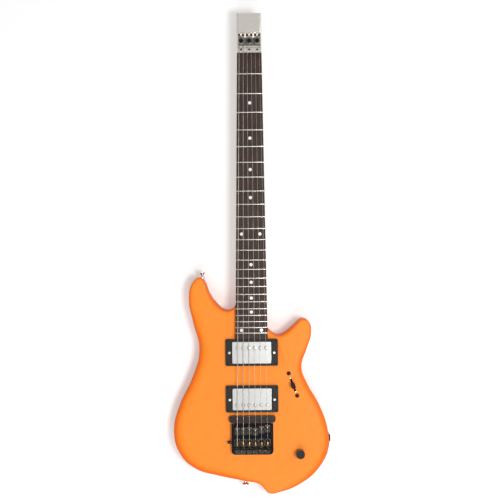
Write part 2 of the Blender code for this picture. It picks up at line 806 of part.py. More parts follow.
def make_neck_screws():
    for i, (x, y) in enumerate(neck_screw_spots(), 1):
        top = POCKET_FLOOR + NECK_SCREW_BITE
        head = FLUSH_SINK + NECK_SCREW_HEAD_HEIGHT
        profile = [
            (0, top), (NECK_SCREW_RADIUS * 0.6, top), (NECK_SCREW_RADIUS, top - 0.003),
            (NECK_SCREW_RADIUS, head), (NECK_SCREW_HEAD_RADIUS, head),
            (NECK_SCREW_HEAD_RADIUS, FLUSH_SINK), (0, FLUSH_SINK),
        ]
        place(turned(f"neck_screw_{i}", profile, (x, y, 0), (0, 0, 1), 12), CHROME)


def make_fingerboard():
    bottom = NECK_TOP + GAP
    sections = [
        crowned_sections(board_half_width(y), y, bottom, BOARD_TOP)
        for y in (BOARD_END, SCALE_LENGTH - GAP)
    ]
    board = place(loft("fingerboard", sections), ROSEWOOD)
    frets = bmesh.new()
    for n in range(1, FRET_COUNT + 1):
        y = SCALE_LENGTH * 2 ** (-n / 12)
        half = board_half_width(y) - GAP
        crest = BOARD_TOP + FRET_HEIGHT
        rings = []
        for offset, rise in ((-0.5, 0), (-0.22, 1), (0.22, 1), (0.5, 0)):
            top = BOARD_TOP - FRET_HEIGHT / 2 + (crest - BOARD_TOP + FRET_HEIGHT / 2) * rise
            ring = crowned_sections(half, y + offset * FRET_WIDTH, BOARD_TOP - 0.004, top)
            rings.append([frets.verts.new(point) for point in ring])
        count = len(rings[0])
        for near, far in zip(rings, rings[1:]):
            for i in range(count):
                j = (i + 1) % count
                frets.faces.new((near[i], near[j], far[j], far[i]))
        frets.faces.new(rings[0])
        frets.faces.new(rings[-1])
    bmesh.ops.recalc_face_normals(frets, faces=frets.faces)
    join(board, from_bmesh("frets", frets))


def clamp_spots():
    return [((i - 1) * 2 * NUT_PITCH, SCALE_LENGTH + CLAMP_OFFSET) for i in range(3)]


def pad_bottom():
    """The clamp pads press on the thickest string."""
    return CLAMP_FLOOR + STRING_DIAMETERS[0] + 2 * GAP


def make_headpiece():
    start = SCALE_LENGTH + GAP
    seat = HEAD_SEAT + GAP
    ledge_end = SCALE_LENGTH + NUT_LEDGE_LENGTH
    plate_start = SCALE_LENGTH + COVER_PLATE_START
    ledge_top = NUT_STRING_Z - crown(nut_string_x(0)) - STRING_DIAMETERS[0] / 2 - GAP
    plate_top = BOARD_TOP - COVER_PLATE_DROP
    outline = [
        (start, seat), (HEAD_END, seat), (HEAD_END, plate_top), (plate_start, plate_top),
        (plate_start, CLAMP_FLOOR), (ledge_end + 0.0015, CLAMP_FLOOR), (ledge_end, ledge_top),
        (start, ledge_top),
    ]
    half = NUT_HALF_WIDTH
    headpiece = place(side_slab("headpiece", outline, -half, half), NICKEL)
    soften(headpiece, 0.0005, 1)
    rails = []
    for side, sign in (("bass", -1), ("treble", 1)):
        inner = sign * (half - HEAD_RAIL_WIDTH)
        outer = sign * (half - GAP)
        rails.append(block(
            f"{side}_rail",
            (min(inner, outer), SCALE_LENGTH + HEAD_RAIL_START, seat + 0.001),
            (max(inner, outer), plate_start + 0.002, plate_top - GAP),
        ))
    join(headpiece, *rails)
    cutters = []
    for i in range(6):
        x, y = nut_string_x(i), SCALE_LENGTH + STRING_HOLE_OFFSET
        cutters.append(rod(
            f"string_hole_{i + 1}", (x, y, seat + 0.001), (x, y, BOARD_TOP + 0.01),
            STRING_HOLE_RADIUS, 10,
        ))
    for i, (x, y) in enumerate(clamp_spots(), 1):
        cutters.append(rod(
            f"clamp_bore_{i}", (x, y, seat - 0.005), (x, y, CLAMP_FLOOR + 0.01),
            CLAMP_SHANK_RADIUS + GAP, 10,
        ))
    for side, sign in (("bass", -1), ("treble", 1)):
        edge = sign * half
        bm = bmesh.new()
        low, high = plate_start - 0.001, HEAD_END + 0.01
        reach = HEAD_CHAMFER
        rings = []
        for y in (low, high):
            corners = [
                (edge - sign * reach, y, plate_top + 0.00001),
                (edge + sign * 0.005, y, plate_top + 0.00001),
                (edge + sign * 0.005, y, plate_top - reach * 0.6 - 0.003),
            ]
            rings.append([bm.verts.new(point) for point in corners])
        for i in range(3):
            j = (i + 1) % 3
            bm.faces.new((rings[0][i], rings[0][j], rings[1][j], rings[1][i]))
        bm.faces.new(rings[0])
        bm.faces.new(rings[1])
        bmesh.ops.recalc_face_normals(bm, faces=bm.faces)
        cutters.append(from_bmesh(f"{side}_chamfer", bm))
    cut(headpiece, *cutters)


def make_clamps():
    half_x = NUT_PITCH - CLAMP_PAD_SPACING / 2
    if clamp_spots()[-1][0] + half_x > NUT_HALF_WIDTH - HEAD_RAIL_WIDTH - GAP:
        half_x = NUT_HALF_WIDTH - HEAD_RAIL_WIDTH - GAP - clamp_spots()[-1][0]
    low, high = pad_bottom(), pad_bottom() + CLAMP_PAD_HEIGHT
    for i, (x, y) in enumerate(clamp_spots(), 1):
        pad = place(block(
            f"clamp_pad_{i}",
            (x - half_x, y - CLAMP_PAD_LENGTH / 2, low), (x + half_x, y + CLAMP_PAD_LENGTH / 2, high),
        ), NICKEL)
        soften(pad, 0.0008, 1)
        cut(pad, rod(
            f"pad_bore_{i}", (x, y, low - 0.01), (x, y, high + 0.01), CLAMP_SHANK_RADIUS + GAP, 10,
        ))
        under = high + GAP
        top = under + CLAMP_HEAD_HEIGHT
        floor = top - CLAMP_SOCKET_DEPTH
        profile = [
            (0, floor), (CLAMP_SOCKET_RADIUS, floor), (CLAMP_SOCKET_RADIUS, top),
            (CLAMP_HEAD_RADIUS - 0.0004, top), (CLAMP_HEAD_RADIUS, top - 0.0004),
            (CLAMP_HEAD_RADIUS, under), (CLAMP_SHANK_RADIUS, under),
            (CLAMP_SHANK_RADIUS, HEAD_SEAT + 2 * GAP), (0, HEAD_SEAT + 2 * GAP),
        ]
        place(turned(f"clamp_screw_{i}", profile, (x, y, 0), (0, 0, 1), 18), BLACK_METAL)


def make_pickup(label, middle):
    window = PICKUP_COVER_WIDTH / 2 + PICKUP_FIT
    reach = PICKUP_COVER_LENGTH / 2 + PICKUP_FIT
    half = RING_LENGTH / 2
    outer = rounded(box_corners(RING_HALF_WIDTH, middle - half, middle + half), RING_CORNER, 3)
    inner = rounded(box_corners(window, middle - reach, middle + reach), PICKUP_COVER_CORNER, 3)
    ring = slab(f"{label}_pickup_ring", [outer, inner], RING_BOTTOM, RING_BOTTOM + RING_HEIGHT)
    place(ring, BLACK_PLASTIC)
    soften(ring, 0.0008, 1)
    plate_z = BODY_TOP - PICKUP_CAVITY_DEPTH + GAP
    shell_low = plate_z + PICKUP_PLATE_THICKNESS + GAP
    shell_high = BODY_TOP + PICKUP_COVER_RISE
    half_x, half_y = PICKUP_COVER_WIDTH / 2, PICKUP_COVER_LENGTH / 2
    shell_outline = rounded(
        box_corners(half_x, middle - half_y, middle + half_y), PICKUP_COVER_CORNER, 3,
    )
    shell = place(slab(f"{label}_pickup_cover", [shell_outline], shell_low, shell_high), NICKEL)
    soften(shell, 0.0010, 2)
    wall = PICKUP_COVER_WALL
    cut(shell, block(
        f"{label}_cover_hollow",
        (wall - half_x, middle + wall - half_y, shell_low - 0.01),
        (half_x - wall, middle + half_y - wall, shell_high - wall),
    ))
    inside = wall + GAP
    coils = place(block(
        f"{label}_pickup_coils",
        (-PICKUP_PLATE_WIDTH / 2, middle - half_y, plate_z),
        (PICKUP_PLATE_WIDTH / 2, middle + half_y, plate_z + PICKUP_PLATE_THICKNESS),
    ), BLACK_PLASTIC)
    bobbins = []
    for side, sign in (("north", 1), ("south", -1)):
        near = 0.0004 if sign > 0 else -(half_y - inside)
        far = half_y - inside if sign > 0 else -0.0004
        bobbins.append(block(
            f"{label}_{side}_bobbin",
            (inside - half_x, middle + near, plate_z + PICKUP_PLATE_THICKNESS / 2),
            (half_x - inside, middle + far, shell_high - wall - GAP),
        ))
    join(coils, *bobbins)


def make_hex_pickup():
    low = BODY_TOP - BAR_ROUT_DEPTH + GAP
    bar = place(slab("hex_pickup", [bar_outline(0)], low, BODY_TOP + BAR_RISE), BLACK_PLASTIC)
    soften(bar, 0.0008, 1)


def make_bridge_base():
    front, back = BRIDGE_FRONT, BRIDGE_BACK
    half = BRIDGE_HALF_WIDTH
    corners = [(-half, back), (half, back), (half, front), (-half, front)]
    outline = rounded(corners, BRIDGE_CORNER, 4)
    square_front = [point for point in outline if point[1] < front - BRIDGE_CORNER * 1.01]
    square_front += [(half, front), (-half, front)]
    square_front.sort(key=lambda p: math.atan2(p[1] - (front + back) / 2, p[0]))
    top = BRIDGE_BASE_Z + BRIDGE_HEIGHT
    base = place(slab("bridge_base", [square_front], BRIDGE_BASE_Z, top), BLACK_METAL)
    soften(base, 0.0006, 1)
    inner = half - BRIDGE_SIDE_WALL
    wall_back = BEARING_WALL_FRONT - BEARING_WALL_THICKNESS
    cutters = [
        block("tray", (-inner, BEARING_WALL_FRONT, TRAY_FLOOR), (inner, front + 0.01, top + 0.01)),
        block(
            "wheel_well", (-inner, WHEEL_WELL_BACK, BRIDGE_BASE_Z + WHEEL_WELL_FLOOR),
            (inner, wall_back, top + 0.01),
        ),
    ]
    for i in range(6):
        x = bridge_string_x(i)
        cutters.append(rod(
            f"stud_bore_{i + 1}", (x, wall_back - 0.001, STUD_Z),
            (x, BEARING_WALL_FRONT + 0.001, STUD_Z), STUD_RADIUS + GAP, 12,
        ))
    cutters.append(rod(
        "side_screw_bore", (-half - 0.01, SIDE_SCREW_Y, STUD_Z), (-inner + 0.001, SIDE_SCREW_Y, STUD_Z),
        SIDE_SCREW_RADIUS + GAP, 12,
    ))
    cut(base, *cutters)


def make_side_screw():
    head = SIDE_SCREW_HEAD_LENGTH
    shank = BRIDGE_SIDE_WALL - GAP
    profile = [
        (0, head), (SIDE_SCREW_HEAD_RADIUS - 0.0004, head), (SIDE_SCREW_HEAD_RADIUS, head - 0.0004),
        (SIDE_SCREW_HEAD_RADIUS, 0), (SIDE_SCREW_RADIUS, 0), (SIDE_SCREW_RADIUS, -shank), (0, -shank),
    ]
    spot = (-BRIDGE_HALF_WIDTH - GAP, SIDE_SCREW_Y, STUD_Z)
    place(turned("bridge_side_screw", profile, spot, (-1, 0, 0), 16), BLACK_METAL)


def make_saddles():
    for i in range(6):
        x = bridge_string_x(i)
        bottom = TRAY_FLOOR + GAP
        top = witness_z(i) - STRING_DIAMETERS[i] / 2 - GAP
        crest = -SADDLE_SETBACKS[i]
        nose, tail = crest + SADDLE_NOSE, crest - SADDLE_TAIL
        outline = [
            (nose, bottom), (nose, top - SADDLE_NOSE_DROP), (crest + SADDLE_CREST, top),
            (crest - SADDLE_CREST, top), (tail, top - SADDLE_TAIL_DROP), (tail, bottom),
        ]
        half = SADDLE_WIDTH / 2
        saddle = place(side_slab(f"saddle_{i + 1}", outline, x - half, x + half), BLACK_METAL)
        soften(saddle, 0.0005, 1)


def make_tuners():
    """Each string's carriage slides on a stud, which its thumbwheel turns."""
    back = CARRIAGE_FRONT - CARRIAGE_LENGTH
    low, high = TRAY_FLOOR + GAP, TRAY_FLOOR + GAP + CARRIAGE_HEIGHT
    pocket_front = CARRIAGE_FRONT - BALL_POCKET_FRONT
    wheel_front = BEARING_WALL_FRONT - BEARING_WALL_THICKNESS - GAP
    for i in range(6):
        x = bridge_string_x(i)
        half = CARRIAGE_WIDTH / 2
        carriage = place(
            block(f"carriage_{i + 1}", (x - half, back, low), (x + half, CARRIAGE_FRONT, high)),
            BLACK_METAL, (x, CARRIAGE_FRONT, STUD_Z),
        )
        soften(carriage, 0.0006, 1)
        slot = CARRIAGE_SLOT / 2
        pocket = BALL_POCKET_WIDTH / 2
        floor = high - BALL_POCKET_DEPTH
        cut(
            carriage,
            rod(
                f"carriage_bore_{i + 1}", (x, back - 0.001, STUD_Z),
                (x, CARRIAGE_FRONT + 0.001, STUD_Z), STUD_RADIUS + GAP, 12,
            ),
            block(
                f"string_slot_{i + 1}", (x - slot, pocket_front - 0.001, floor + GAP),
                (x + slot, CARRIAGE_FRONT + 0.01, high + 0.01),
            ),
            block(
                f"ball_pocket_{i + 1}", (x - pocket, pocket_front - BALL_POCKET_LENGTH, floor),
                (x + pocket, pocket_front, high + 0.01),
            ),
        )
        edge = 0.0006
        end = -WHEEL_LENGTH
        profile = [
            (0, STUD_LENGTH), (STUD_RADIUS, STUD_LENGTH), (STUD_RADIUS, 0), (WHEEL_RADIUS - edge, 0),
            (WHEEL_RADIUS, -edge), (WHEEL_RADIUS, end + edge), (WHEEL_RADIUS - edge, end), (0, end),
        ]
        spot = (x, wheel_front, STUD_Z)
        place(turned(f"tuner_{i + 1}", profile, spot, (0, 1, 0), 16), BLACK_METAL)


def make_strings():
    for i, diameter in enumerate(STRING_DIAMETERS):
        radius = diameter / 2
        nut_x, bridge_x = nut_string_x(i), bridge_string_x(i)
        nut_z = NUT_STRING_Z - crown(nut_x)
        clamp_z = CLAMP_FLOOR + GAP + radius
        hole_y = SCALE_LENGTH + STRING_HOLE_OFFSET
        ledge_end = SCALE_LENGTH + NUT_LEDGE_LENGTH
        pad_front = SCALE_LENGTH + CLAMP_OFFSET - CLAMP_PAD_LENGTH / 2
        route = [
            (nut_x, hole_y, CLAMP_FLOOR - 0.003),
            (nut_x, hole_y - 0.0008, clamp_z),
            (nut_x, pad_front, clamp_z),
            (nut_x, ledge_end, nut_z),
            (nut_x, SCALE_LENGTH, nut_z),
            (bridge_x, -SADDLE_SETBACKS[i], witness_z(i)),
            (bridge_x, CARRIAGE_FRONT - STRING_END_SETBACK, carriage_end_z()),
        ]
        curve = bpy.data.curves.new(f"string_{i + 1}", "CURVE")
        curve.dimensions = "3D"
        curve.bevel_depth = radius
        curve.bevel_resolution = 1
        curve.use_fill_caps = True
        spline = curve.splines.new("POLY")
        spline.points.add(len(route) - 1)
        for point, spot in zip(spline.points, route):
            point.co = (*spot, 1)
        place(welded(bpy.data.objects.new(f"string_{i + 1}", curve)), STEEL)


def make_volume():
    ceiling = CAVITY_CEILING - GAP
    nut_low = BODY_TOP + GAP
    nut_high = nut_low + POT_NUT_HEIGHT
    bushing_top = BODY_TOP + BUSHING_RISE
    bore = SHAFT_RADIUS + SHAFT_FIT
    bore_floor = ceiling - POT_HEIGHT + 0.001
    profile = [
        (0, bore_floor), (bore, bore_floor), (bore, bushing_top), (BUSHING_RADIUS, bushing_top),
        (BUSHING_RADIUS, nut_high), (POT_NUT_RADIUS, nut_high), (POT_NUT_RADIUS, nut_low),
        (BUSHING_RADIUS, nut_low), (BUSHING_RADIUS, ceiling), (POT_RADIUS, ceiling),
        (POT_RADIUS, ceiling - POT_HEIGHT), (0, ceiling - POT_HEIGHT),
    ]
    place(turned("volume_pot", profile, (VOLUME_X, VOLUME_Y, 0), (0, 0, 1), 24), NICKEL)
    low = BODY_TOP + KNOB_LIFT
    top = low + KNOB_HEIGHT
    inside = low + KNOB_RECESS_DEPTH
    shaft_end = bore_floor + GAP
    profile = [
        (0, top), (KNOB_RADIUS - KNOB_EDGE, top), (KNOB_RADIUS, top - KNOB_EDGE), (KNOB_RADIUS, low),
        (KNOB_RECESS_RADIUS, low), (KNOB_RECESS_RADIUS, inside), (SHAFT_RADIUS, inside),
        (SHAFT_RADIUS, shaft_end), (0, shaft_end),
    ]
    place(turned("volume_knob", profile, (VOLUME_X, VOLUME_Y, 0), (0, 0, 1), 24), BLACK_METAL)


def make_selector():
    top = CAVITY_CEILING - GAP
    pivot_z = BODY_TOP - LEVER_PIVOT_DEPTH
    half_x, half_y = SWITCH_WIDTH / 2, SWITCH_LENGTH / 2
    switch = place(leaning(block(
        "selector_switch", (-half_x, -half_y, top - SWITCH_HEIGHT), (half_x, half_y, top),
    )), BLACK_PLASTIC)
    wide = LEVER_THICKNESS / 2 + SLOT_CLEARANCE
    long = LEVER_SLOT_LENGTH / 2
    cut(switch, leaning(block(
        "switch_slot", (-wide, -long, pivot_z - LEVER_HUB_RADIUS - SLOT_CLEARANCE),
        (wide, long, top + 0.01),
    )))
    join(switch, leaning(rod(
        "switch_pin", (-half_x + 0.001, 0, pivot_z), (half_x - 0.001, 0, pivot_z),
        LEVER_PIN_RADIUS, 12,
    )))
    blade_top = BODY_TOP + LEVER_RISE
    outline = []
    steps = 8
    for k in range(steps + 1):
        angle = math.pi * (1 + k / steps)
        y = LEVER_HUB_RADIUS * math.cos(angle)
        outline.append((y, pivot_z + LEVER_HUB_RADIUS * math.sin(angle)))
    outline += [
        (LEVER_HALF_WIDTH, pivot_z + LEVER_HUB_RADIUS), (LEVER_HALF_WIDTH, blade_top),
        (-LEVER_HALF_WIDTH, blade_top), (-LEVER_HALF_WIDTH, pivot_z + LEVER_HUB_RADIUS),
    ]
    half = LEVER_THICKNESS / 2
    lever = leaning(side_slab("selector_lever", outline, -half, half))
    place(lever, BLACK_PLASTIC, (SELECTOR_X, SELECTOR_Y, pivot_z))
    pin_hole = LEVER_PIN_RADIUS + GAP
    cut(lever, leaning(rod(
        "lever_bore", (-half - 0.001, 0, pivot_z), (half + 0.001, 0, pivot_z), pin_hole, 12,
    )))
    tip_outline = rounded(
        box_corners(TIP_WIDTH / 2, -TIP_LENGTH / 2, TIP_LENGTH / 2), TIP_WIDTH / 2, 3,
    )
    tip_low = blade_top - TIP_HEIGHT / 2
    join(lever, leaning(slab("lever_tip", [tip_outline], tip_low, tip_low + TIP_HEIGHT)))


def make_side_plate():
    low = SIDE_MID_HEIGHT - PLATE_HEIGHT / 2
    high = SIDE_MID_HEIGHT + PLATE_HEIGHT / 2
    plate = place(slab(
        "side_plate", [plate_outline(PLATE_SUNK, PLATE_PROUD, 0)], low, high,
    ), BLACK_PLASTIC)
    middle = SIDE_MID_HEIGHT
    point, normal = treble_edge(BUTTON_Y)
    spot = Vector((*point, middle))
    out = Vector((*normal, 0))
    usb_half = USB_WIDTH / 2 + GAP
    usb_x = treble_edge(USB_Y)[0].x
    cut(
        plate,
        rod("jack_hole", (0.12, JACK_Y, middle), (0.15, JACK_Y, middle), JACK_BUSHING_RADIUS + GAP, 24),
        rod("button_hole", spot - out * 0.01, spot + out * 0.01, BUTTON_RADIUS + GAP, 16),
        block(
            "usb_hole", (usb_x - 0.006, USB_Y - usb_half, middle - USB_HEIGHT / 2 - GAP),
            (usb_x + 0.006, USB_Y + usb_half, middle + USB_HEIGHT / 2 + GAP),
        ),
    )


def jack_seat():
    """The x of the plate's outer and inner faces where the jack goes through."""
    reach = JACK_NUT_RADIUS
    spots = [treble_edge(JACK_Y + reach * k / 2)[0].x for k in (-2, -1, 0, 1, 2)]
    return max(spots) + PLATE_PROUD, min(spots) - PLATE_SUNK


def make_output_jack():
    outer, inner = jack_seat()
    nut_low = outer + GAP
    mouth = nut_low + JACK_NUT_THICKNESS
    shoulder = inner - GAP - 0.0004
    end = mouth - JACK_LENGTH
    profile = [
        (0, mouth - JACK_SOCKET_DEPTH), (JACK_SOCKET_RADIUS, mouth - JACK_SOCKET_DEPTH),
        (JACK_SOCKET_RADIUS, mouth), (JACK_NUT_RADIUS, mouth), (JACK_NUT_RADIUS, nut_low),
        (JACK_BUSHING_RADIUS, nut_low), (JACK_BUSHING_RADIUS, shoulder),
        (JACK_BARREL_RADIUS, shoulder), (JACK_BARREL_RADIUS, end), (0, end),
    ]
    place(turned("output_jack", profile, (0, JACK_Y, SIDE_MID_HEIGHT), (1, 0, 0), 24), NICKEL)


def make_power_button():
    point, normal = treble_edge(BUTTON_Y)
    out = Vector((*normal, 0))
    seat = Vector((*point, SIDE_MID_HEIGHT)) - out * (PLATE_SUNK + BUTTON_TRAVEL / 4)
    top = PLATE_SUNK + BUTTON_TRAVEL / 4 + PLATE_PROUD + BUTTON_PROUD
    under = -GAP
    base = under - BUTTON_FLANGE
    profile = [
        (0, top), (BUTTON_RADIUS - 0.0004, top), (BUTTON_RADIUS, top - 0.0004),
        (BUTTON_RADIUS, under), (BUTTON_FLANGE_RADIUS, under), (BUTTON_FLANGE_RADIUS, base), (0, base),
    ]
    place(turned("power_button", profile, seat, out, 16), BLACK_PLASTIC)


def make_electronics():
    board_high = SIDE_MID_HEIGHT - USB_HEIGHT / 2 + 0.0002
    board_low = board_high - CIRCUIT_THICKNESS
    tongue = USB_WIDTH / 2 + 0.0010
    usb_end = treble_edge(USB_Y)[0].x + PLATE_PROUD - 0.0014
    tongue_end = usb_end - USB_DEPTH + 0.003
    outline = [
        (BOARD_LEFT, BOARD_LOW_Y), (BOARD_RIGHT, BOARD_LOW_Y), (BOARD_RIGHT, USB_Y - tongue),
        (tongue_end, USB_Y - tongue), (tongue_end, USB_Y + tongue), (BOARD_RIGHT, USB_Y + tongue),
        (BOARD_RIGHT, BOARD_HIGH_Y + 0.0004), (BOARD_LEFT, BOARD_HIGH_Y + 0.0004),
    ]
    board = place(slab("circuit_board", [outline], board_low, board_high), SOLDER_MASK)
    parts = [block(
        "usb_socket", (usb_end - USB_DEPTH, USB_Y - USB_WIDTH / 2, board_high - 0.0002),
        (usb_end, USB_Y + USB_WIDTH / 2, board_high - 0.0002 + USB_HEIGHT),
    )]
    ceiling = CAVITY_CEILING - GAP
    left, right = BOARD_LEFT + POST_INSET, BOARD_RIGHT - POST_INSET
    low, high = BOARD_LOW_Y + POST_INSET, BOARD_HIGH_Y - POST_INSET
    for i, (x, y) in enumerate(((left, low), (right, low), (right, high), (left, high)), 1):
        parts.append(rod(f"post_{i}", (x, y, board_low + 0.0004), (x, y, ceiling), POST_RADIUS, 10))
    join(board, *parts)
    cut(board, block(
        "usb_mouth", (usb_end - USB_DEPTH + 0.002, USB_Y - USB_WIDTH / 2 + 0.0006, board_high + 0.0004),
        (usb_end + 0.01, USB_Y + USB_WIDTH / 2 - 0.0006, board_high + USB_HEIGHT - 0.0008),
    ))
    half_x, half_y = BATTERY_WIDTH / 2, BATTERY_LENGTH / 2
    battery = place(block(
        "battery", (BATTERY_X - half_x, BATTERY_Y - half_y, ceiling - BATTERY_THICKNESS),
        (BATTERY_X + half_x, BATTERY_Y + half_y, ceiling),
    ), SILVER_WRAP)
    soften(battery, 0.0015, 2)


def make_rear_cover():
    outline = rounded(grown(CAVITY_OUTLINE, COVER_LEDGE), CAVITY_CORNER + COVER_LEDGE)
    place(slab("rear_cover", [outline], FLUSH_SINK, FLUSH_SINK + COVER_THICKNESS), BLACK_PLASTIC)


def make_strap_buttons():
    for name, spot, way in strap_spots():
        length = STRAP_BUTTON_LENGTH
        flange = length - STRAP_FLANGE_THICKNESS
        base = -STRAP_SEAT_DEPTH
        shank = base - STRAP_SHANK_LENGTH
        profile = [
            (0, length), (STRAP_FLANGE_RADIUS - 0.0006, length), (STRAP_FLANGE_RADIUS, length - 0.0006),
            (STRAP_FLANGE_RADIUS, flange), (STRAP_STEM_RADIUS, flange - 0.0012),
            (STRAP_STEM_RADIUS, 0.003), (STRAP_BASE_RADIUS, 0.0012), (STRAP_BASE_RADIUS, base),
            (STRAP_SHANK_RADIUS, base), (STRAP_SHANK_RADIUS, shank), (0, shank),
        ]
        place(turned(name, profile, spot, way, 20), CHROME)


make_body()
make_neck()
make_truss_rod()
make_neck_screws()
make_fingerboard()
make_headpiece()
make_clamps()
make_pickup("neck", neck_ring_middle())
make_pickup("bridge", bridge_ring_middle())
make_hex_pickup()
make_bridge_base()
make_side_screw()
make_saddles()
make_tuners()
make_strings()
make_volume()
make_selector()
make_side_plate()
make_output_jack()
make_power_button()
make_electronics()
make_rear_cover()
make_strap_buttons()
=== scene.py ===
import functools
import math

import bpy
from mathutils import Matrix, Vector


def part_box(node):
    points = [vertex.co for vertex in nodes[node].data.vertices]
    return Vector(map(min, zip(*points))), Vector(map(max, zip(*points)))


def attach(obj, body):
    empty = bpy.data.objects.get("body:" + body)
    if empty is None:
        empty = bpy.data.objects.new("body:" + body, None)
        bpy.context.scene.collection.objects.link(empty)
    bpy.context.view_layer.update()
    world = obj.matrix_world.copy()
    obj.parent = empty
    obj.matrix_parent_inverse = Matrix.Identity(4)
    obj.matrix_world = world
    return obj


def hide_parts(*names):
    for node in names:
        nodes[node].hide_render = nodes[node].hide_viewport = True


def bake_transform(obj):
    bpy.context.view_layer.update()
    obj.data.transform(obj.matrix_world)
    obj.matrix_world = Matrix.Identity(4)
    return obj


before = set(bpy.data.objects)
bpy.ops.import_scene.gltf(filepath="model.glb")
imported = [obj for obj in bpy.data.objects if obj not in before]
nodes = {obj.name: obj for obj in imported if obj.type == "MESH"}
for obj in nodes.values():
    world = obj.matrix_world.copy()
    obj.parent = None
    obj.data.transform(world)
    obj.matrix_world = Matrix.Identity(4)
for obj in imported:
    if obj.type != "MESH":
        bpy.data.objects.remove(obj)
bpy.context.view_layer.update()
mm = 0.001
stringCount = 6


# Small helpers: they take millimetres, and Blender's own units are metres

def linear(hexColour):
    values = [int(hexColour[k:k + 2], 16) / 255 for k in (1, 3, 5)]
    return [c / 12.92 if c <= 0.04045 else ((c + 0.055) / 1.055) ** 2.4 for c in values] + [1]


def boxOf(node):
    # the two far corners of a CAD node
    return [[c / mm for c in corner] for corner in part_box(node)]


def deselectAll():
    for obj in bpy.context.selected_objects:
        obj.select_set(False)


def makeActive(obj):
    deselectAll()
    obj.select_set(True)
    bpy.context.view_layer.objects.active = obj


def applyModifiers(obj):
    makeActive(obj)
    for modifier in list(obj.modifiers):
        bpy.ops.object.modifier_apply(modifier=modifier.name)


def addBevel(obj, width, segments=1, degrees=30):
    edge = obj.modifiers.new("edge", "BEVEL")
    edge.width = width * mm
    edge.segments = segments
    edge.limit_method = "ANGLE"
    edge.angle_limit = math.radians(degrees)


def cutAway(obj, cutters):
    bpy.context.view_layer.update()
    for cutter in cutters:
        hole = obj.modifiers.new("hole", "BOOLEAN")
        hole.object = cutter
        hole.solver = "EXACT"
    applyModifiers(obj)
    for cutter in cutters:
        bpy.data.objects.remove(cutter)


def addCylinder(sides, radius, depth, spot=(0, 0, 0), turn=(0, 0, 0)):
    deselectAll()
    bpy.ops.mesh.primitive_cylinder_add(
        vertices=sides, radius=radius * mm, depth=depth * mm, location=Vector(spot) * mm, rotation=turn,
    )
    return bpy.context.object


def addCube():
    deselectAll()
    bpy.ops.mesh.primitive_cube_add(size=1, location=(0, 0, 0))
    return bpy.context.object


def facesUp(face):
    return face.normal.z > 0.9


def editFaces(obj, wanted=lambda face: True):
    # goes into edit mode with only the wanted faces selected
    makeActive(obj)
    bpy.ops.object.mode_set(mode="EDIT")
    bpy.ops.mesh.select_mode(type="FACE")
    bpy.ops.mesh.select_all(action="DESELECT")
    bpy.ops.object.mode_set(mode="OBJECT")
    for face in obj.data.polygons:
        face.select = wanted(face)
    bpy.ops.object.mode_set(mode="EDIT")


def leaveEditing():
    bpy.ops.object.mode_set(mode="OBJECT")


def inset(width, **settings):
    bpy.ops.mesh.inset(thickness=width * mm, **settings)


def extrude(x=0, y=0, z=0):
    bpy.ops.mesh.extrude_region_move(TRANSFORM_OT_translate={"value": (x * mm, y * mm, z * mm)})


def settle(obj):
    # a finished piece sits at the origin, with its place in its mesh
    bpy.context.view_layer.update()
    obj.data.transform(obj.matrix_world)
    obj.matrix_world = Matrix.Identity(4)


def keepMesh(obj):
    # what repeats is modelled once and kept as a mesh to copy
    settle(obj)
    mesh = obj.data
    bpy.data.objects.remove(obj)
    return mesh


def copyOf(mesh, spot, turn=(0, 0, 0)):
    # each copy has its own mesh
    copy = bpy.data.objects.new(mesh.name, mesh.copy())
    copy.location = Vector(spot) * mm
    copy.rotation_euler = turn
    bpy.context.scene.collection.objects.link(copy)
    return copy


def tubeAlong(points, radius, resolution=3, cyclic=False):
    curve = bpy.data.curves.new("tube", "CURVE")
    curve.dimensions = "3D"
    curve.bevel_depth = radius * mm
    curve.bevel_resolution = resolution
    curve.use_fill_caps = True
    spline = curve.splines.new("POLY")
    spline.points.add(len(points) - 1)
    for knot, spot in zip(spline.points, points):
        knot.co = (*(Vector(spot) * mm), 1)
    spline.use_cyclic_u = cyclic
    tube = bpy.data.objects.new("tube", curve)
    bpy.context.scene.collection.objects.link(tube)
    makeActive(tube)
    bpy.ops.object.convert(target="MESH")
    return bpy.context.view_layer.objects.active


def ringMesh(radius, wire, steps):
    # a wire bent to a ring round the origin
    turns = [step * math.tau / steps for step in range(steps)]
    circle = [(radius * math.cos(turn), radius * math.sin(turn), 0) for turn in turns]
    return keepMesh(tubeAlong(circle, wire, 2, cyclic=True))


def smooth(obj, degrees):
    makeActive(obj)
    bpy.ops.object.shade_smooth_by_angle(angle=math.radians(degrees))


def register(obj, finish, body, replaced):
    # the piece's material, the body it rides on and the CAD node it stands for
    obj.data.materials.clear()
    obj.data.materials.append(made[finish])
    if body:
        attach(obj, body)
    if replaced:
        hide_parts(replaced)


def finishPiece(obj, name, finish, body="root", replaced=None, degrees=35):
    obj.name = name
    obj.data.name = name
    settle(obj)
    smooth(obj, degrees)
    register(obj, finish, body, replaced)


skin = {"merge": 0.002, "flat": 0.4, "sharp": 38}  # a gap in millimetres, two angles in degrees


def dress(node, finish, body="root", degrees=30, bevel=0):
    # a CAD node's own shape as one closed skin, with softened edges and even shading
    # the copy drops the node's parent and marks
    piece = nodes[node].copy()
    piece.data = nodes[node].data.copy()
    piece.parent = None
    for key in list(piece.keys()):
        del piece[key]
    bpy.context.scene.collection.objects.link(piece)
    editFaces(piece)
    bpy.ops.mesh.remove_doubles(threshold=skin["merge"] * mm)
    bpy.ops.mesh.dissolve_limited(angle_limit=math.radians(skin["flat"]))
    leaveEditing()
    if bevel:
        addBevel(piece, bevel, 2, skin["sharp"])
    piece.name = node + "_skin"
    smooth(piece, degrees)
    piece.modifiers.new("even", "WEIGHTED_NORMAL").keep_sharp = True
    applyModifiers(piece)
    register(piece, finish, body, node)


# Materials

